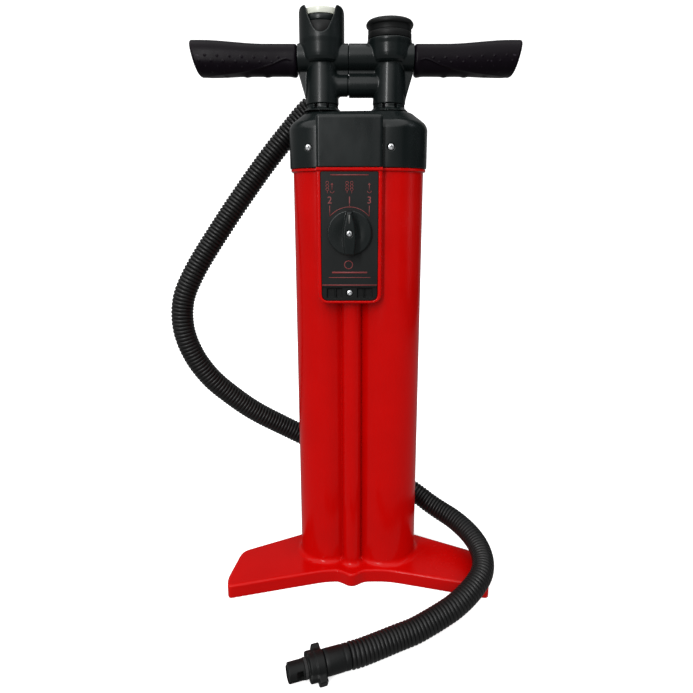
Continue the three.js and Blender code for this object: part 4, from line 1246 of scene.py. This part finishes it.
DOT_PITCH = 11.6  # between dots along a row
DOT_ROW = 4.4


def grip_field(x, y, z, out):
    """Oval grip that swells to a slanted end, with a dotted pad above an S-shaped ridge."""
    run = x * out - GRIP_INNER
    length = GRIP_OUTER - GRIP_INNER
    share = np.clip(run / length, 0, 1)
    half_height = 15 + 1.7 * smoothstep(share, 0.3, 0.9)
    half_depth = 14.2 + 2.2 * smoothstep(share, 0.1, 0.8)
    up = (z - GRIP_BOTTOM) / half_height - 1
    across = y / half_depth
    radius = (np.abs(up) ** 2.3 + np.abs(across) ** 2.3) ** (1 / 2.3)
    skin_depth = (radius - 1) * np.minimum(half_height, half_depth)
    ridge = ridge_height(run)
    low = smoothstep(ridge - z, -0.5, 0.5) * smoothstep(run, 3.0, 9.0)
    crest = np.exp(-((z - ridge) / 0.8) ** 2)
    crest = crest * smoothstep(run, 3.0, 9.0) * smoothstep(-run, -96.0, -88.0)
    skin_depth = skin_depth + 0.75 * low - 0.35 * crest
    turn = np.arctan2(z - GRIP_BOTTOM - half_height, np.abs(y)) * 15
    row = np.round(turn / DOT_ROW)
    along = (run / DOT_PITCH + 0.5 * np.mod(row, 2)) % 1 - 0.5
    dot = np.exp(-((along * DOT_PITCH) ** 2 + (turn - row * DOT_ROW) ** 2) / 0.75)
    where = smoothstep(z - ridge, 0.8, 2.5) * smoothstep(-turn, -4.0, -2.0)
    where = where * smoothstep(run, 10, 18) * smoothstep(-run, -102, -97)
    skin_depth = skin_depth - 0.42 * dot * where
    beads = (run / 20.0) % 1 - 0.5
    bead = np.exp(-((beads * 20.0) ** 2 / 9.0 + (y / 5.0) ** 2)) * smoothstep(-up, 0.75, 0.95)
    skin_depth = skin_depth - 1.0 * bead * smoothstep(run, 12, 20) * smoothstep(-run, -80, -72)
    slant = run - length + 4 * (1 - up)
    ends = np.maximum(-run, slant * 0.96)
    shape = both(skin_depth, ends, 2.6)
    core = np.maximum(tube(y, z, 0, BAR_Z - 1, 9.3), run - length + 18.3)
    return without(shape, core, 0.4)


def smoothstep(value, low, high):
    t = np.clip((value - low) / (high - low), 0, 1)
    return t * t * (3 - 2 * t)


RIDGE = [
    (0, 546.5), (5, 548.3), (9.5, 549.6), (14, 548.6), (23, 544.7), (37, 541.0), (60, 537.6),
    (92, 535.0),
]


def ridge_height(run):
    """Height of the ridge along the grip."""
    return np.interp(run, [p[0] for p in RIDGE], [p[1] for p in RIDGE])


def make_handle():
    fine = (-SPLIT_X - 3, -SPLIT_X + 3, 0.5)
    left_x = -levels(-5, 146, 0.95, fine)[::-1]
    joint = (538.4, 542.4, 0.4)
    heights = levels(508, 599, 0.85, joint)
    depth = levels(-23.5, 23.5, 0.85)
    moulded(
        "handle_left_moulded", left_handle_field, (left_x, depth, heights), "handle", BLACK,
        ["handle_left"], smooth=0.3,
    )
    right_x = levels(-9, 146, 0.95, (SPLIT_X - 2, SPLIT_X + 3, 0.5))
    right_heights = levels(508, 571, 0.85, joint)
    moulded(
        "handle_right_moulded", right_handle_field, (right_x, depth, right_heights), "handle",
        BLACK, ["handle_right"], smooth=0.3,
    )
    ys = levels(-17.6, 17.6, 0.6)
    zs = levels(GRIP_BOTTOM - 2.5, 572, 0.6)
    for side, out in (("left", -1), ("right", 1)):
        xs = levels(GRIP_INNER - 1, GRIP_OUTER + 1.5, 0.6)
        xs = xs if out > 0 else -xs[::-1]
        moulded(
            f"grip_{side}_moulded", lambda x, y, z, out=out: grip_field(x, y, z, out), (xs, ys, zs),
            "handle", GRIP, [f"grip_{side}"], smooth=0.2,
        )


# ---------------------------------------------------------------- rods, gauge and plug
def make_rods():
    for side, x in (("left", -ROD_X), ("right", ROD_X)):
        profile = [(5.2, 21.0), (8.0, 21.0), (8.0, 555.0), (5.2, 555.0)]
        turned_piece(
            f"rod_{side}_drawn", profile, "handle", ALUMINIUM, [f"rod_{side}"],
            bevel=0.6, origin=(x, 0, 0),
        )


GAUGE_AT = (-ROD_X, 0, 0)


def make_gauge():
    body = [(0, 558.0), (4.6, 558.0), (4.6, 570.3), (18.5, 570.3), (18.5, 583.2), (0, 583.2)]
    turned_piece(
        "gauge_body_moulded", body, "handle", MATTE, ["gauge_body"], origin=GAUGE_AT,
    )
    bezel = [
        (15.6, 583.5), (18.2, 583.5), (18.6, 584.2), (18.6, 588.0), (18.0, 588.9), (16.4, 588.9),
        (15.6, 587.6),
    ]
    turned_piece(
        "gauge_bezel_moulded", bezel, "handle", BLACK, ["gauge_bezel"],
        origin=GAUGE_AT, sides=96,
    )
    dial = [(0, 583.5), (15.3, 583.5), (15.3, 584.3), (0, 584.3)]
    turned_piece(
        "gauge_dial_disc", dial, "handle", DIAL, ["gauge_dial"], bevel=0.15,
        origin=GAUGE_AT,
    )
    rise = [(17.3 + 1.2 * math.cos(a), 593.9 + 1.2 * math.sin(a)) for a in np.linspace(0, 1.3, 5)]
    lens = [(0, 589.3), (18.3, 589.3), (18.5, 589.6), *rise, (12, 595.4), (0, 595.6)]
    points, faces = lathe(lens, origin=GAUGE_AT, sides=96)
    new_piece("gauge_lens_dome", points, faces, "handle", LENS, ["gauge_lens"], sharp=50)


def make_dial_print():
    """Ticks and numbers round three quarters of the dial, and a thin ring."""
    points, faces = [], []
    back, front = 584.28, 584.42
    for i in range(41):
        angle = math.radians(-135 + 6.75 * i)
        inner = 10.9 if i % 10 == 0 else 12.2 if i % 5 == 0 else 12.9
        ends = [(-ROD_X + r * math.sin(angle), r * math.cos(angle)) for r in (inner, 14.0)]
        add_prism(points, faces, stroke(*ends, 0.45 if i % 5 == 0 else 0.22), back, front, False)
    for half in (0, 1):
        ring = arc_strip(-ROD_X, 0, 14.3, -135 + 135 * half, 135 * half, 0.3, 24)
        add_prism(points, faces, ring, back, front, False)
    for i, text in enumerate(("0", "5", "10", "15", "20")):
        angle = math.radians(-135 + 67.5 * i)
        cx, cy = -ROD_X + 8.6 * math.sin(angle), 8.6 * math.cos(angle)
        add_digits(
            points, faces, text, 3.6,
            lambda u, v, w, cx=cx, cy=cy: (cx + u, cy + v, 584.34 + w),
        )
    new_piece("gauge_dial_print", points, faces, "handle", INK)


def make_needle():
    """A hub with a tapered pointer and a short tail, resting at the start of the scale."""
    angle = math.radians(135)
    basis = np.array([
        [math.cos(angle), math.sin(angle), 0], [-math.sin(angle), math.cos(angle), 0], [0, 0, 1],
    ])
    points, faces = [], []
    pointer = [(-0.9, -3.5), (0.9, -3.5), (0.35, 12.5), (-0.35, 12.5)]
    add_prism(points, faces, pointer, 585.4, 586.0, False)
    hub = [(0, 585.0), (2.2, 585.0), (2.2, 586.5), (1.2, 587.0), (0, 587.0)]
    hub_points, hub_faces = lathe(softened(hub, 0.15, False), sides=40)
    start = len(points)
    points = np.concatenate([np.array(points), hub_points])
    faces = faces + [tuple(start + k for k in face) for face in hub_faces]
    new_piece(
        "gauge_needle_painted", placed(points, GAUGE_AT, basis), faces, "needle", NEEDLE,
        ["gauge_needle"], sharp=40,
    )


def make_plug():
    profile = [
        (0, 559), (16.2, 559), (16.2, 561.7), (14.2, 561.7), (14.2, 565.3), (16.2, 565.3),
        (16.2, 569.3), (21.3, 569.3), (21.2, 574.6), (20.8, 574.9), (20.8, 575.7), (21.1, 576.0),
        (20.9, 580.7), (22.4, 580.7), (22.9, 582), (22.9, 583.6), (21.3, 585.7), (18.4, 586),
        (17.6, 585.3), (0, 585.3),
    ]
    turned_piece(
        "port_plug_moulded", profile, "plug", MATTE, ["port_plug"], bevel=0.4,
        origin=(ROD_X, 0, 0), sides=96,
    )


# ---------------------------------------------------------------- all pieces, and kept CAD nodes
make_body()
make_screws()
make_cover()
make_gland_nuts()
make_outlet()
make_selector()
make_print()
make_handle()
make_rods()
make_gauge()
make_dial_print()
make_needle()
make_plug()

KEPT = {
    MATTE: ["base_cover", "cylinder_head", "selector_rotor", "piston_left", "piston_right"],
    RUBBER: [
        "base_gasket", "foot_valve_left", "foot_valve_right", "head_gasket", "rod_seal_left",
        "rod_seal_right", "intake_valve_left", "intake_valve_right", "outlet_valve_left",
        "outlet_valve_right", "elbow_oring", "adapter_gasket", "piston_seal_left",
        "piston_seal_right", "plug_oring",
    ],
    LABEL: ["selector_plate"],
    STEEL: ["piston_nut_left", "piston_nut_right"],
}
for finish, names in KEPT.items():
    for name in names:
        nodes[name].data.materials.clear()
        nodes[name].data.materials.append(finish)


# ---------------------------------------------------------------- floor, light and background
def make_floor():
    """A wide sheet of pale paper, curved up behind the pump into a backdrop."""
    half, front, back, bend, top, steps = 6.0, -4.0, 2.6, 0.8, 5.0, 16
    profile = [(front, 0.0)]
    for i in range(steps + 1):
        angle = math.pi / 2 * i / steps
        profile.append((back + bend * math.sin(angle), bend - bend * math.cos(angle)))
    profile.append((back + bend, top))
    corners = [(x, y, z) for y, z in profile for x in (-half, half)]
    faces = [(2 * i, 2 * i + 1, 2 * i + 3, 2 * i + 2) for i in range(len(profile) - 1)]
    mesh = bpy.data.meshes.new("studio_floor")
    mesh.from_pydata(corners, [], faces)
    mesh.polygons.foreach_set("use_smooth", [True] * len(faces))
    floor = bpy.data.objects.new("studio_floor", mesh)
    bpy.context.scene.collection.objects.link(floor)
    finish = Finish("studio_paper")
    clouds = finish.ranged(finish.noise(3.0), 0.0, 1.0)
    paper = finish.mixed(clouds, (0.92, 0.92, 0.92), (0.94, 0.94, 0.94))
    finish.link(paper, finish.shader.inputs["Base Color"])
    finish.set(
        Roughness=0.95, Specular_IOR_Level=0.1, Emission_Color=(1.0, 1.0, 1.0, 1.0),
        Emission_Strength=0.6,
    )
    mesh.materials.append(finish.material)
    floor.visible_diffuse = False
    floor.visible_glossy = False


def soft_light(name, location, target, size, power, color=(1.0, 1.0, 1.0)):
    light = bpy.data.lights.new(name, "AREA")
    light.shape = "RECTANGLE"
    light.size, light.size_y = size
    light.energy = power
    light.color = color
    aimed_light(name, light, location, target)


def wide_sun(name, location, target, strength, spread):
    """Even light from one side of the sky, as from a very large softbox far away."""
    light = bpy.data.lights.new(name, "SUN")
    light.energy = strength
    light.angle = math.radians(spread)
    aimed_light(name, light, location, target)


def aimed_light(name, light, location, target):
    holder = bpy.data.objects.new(name, light)
    holder.location = location
    holder.rotation_euler = (Vector(target) - Vector(location)).to_track_quat("-Z", "Y").to_euler()
    bpy.context.scene.collection.objects.link(holder)


def dark_card(name, x):
    """A black card beside the pump that shows only in its glossy flank."""
    corners = [(x, -1.6, 0.0), (x, 1.2, 0.0), (x, 1.2, 1.6), (x, -1.6, 1.6)]
    mesh = bpy.data.meshes.new(name)
    mesh.from_pydata(corners, [], [(0, 1, 2, 3)])
    finish = Finish(name)
    soot = finish.mixed(finish.noise(4.0), (0.0, 0.0, 0.0), (0.004, 0.004, 0.004))
    finish.link(soot, finish.shader.inputs["Base Color"])
    mesh.materials.append(finish.material)
    card = bpy.data.objects.new(name, mesh)
    bpy.context.scene.collection.objects.link(card)
    card.visible_camera = False
    card.visible_diffuse = False
    card.visible_shadow = False


make_floor()
dark_card("flag_right", 1.2)
wide_sun("overhead", (-0.3, -0.95, 1.8), (0, 0, 0), 2.7, 100.0)
soft_light("key_softbox", (-0.55, -1.5, 1.0), (0, 0, 0.35), (0.16, 1.3), 14.0)
soft_light("side_strip", (1.3, -0.3, 0.8), (0, 0, 0.3), (0.25, 1.4), 3.0, (0.9, 0.94, 1.0))

world = bpy.data.worlds.new("studio_world")
world.use_nodes = True
world.node_tree.nodes["Background"].inputs["Color"].default_value = (1.0, 1.0, 1.0, 1.0)
world.node_tree.nodes["Background"].inputs["Strength"].default_value = 0.3
bpy.context.scene.world = world
bpy.context.scene.view_settings.view_transform = "Standard"
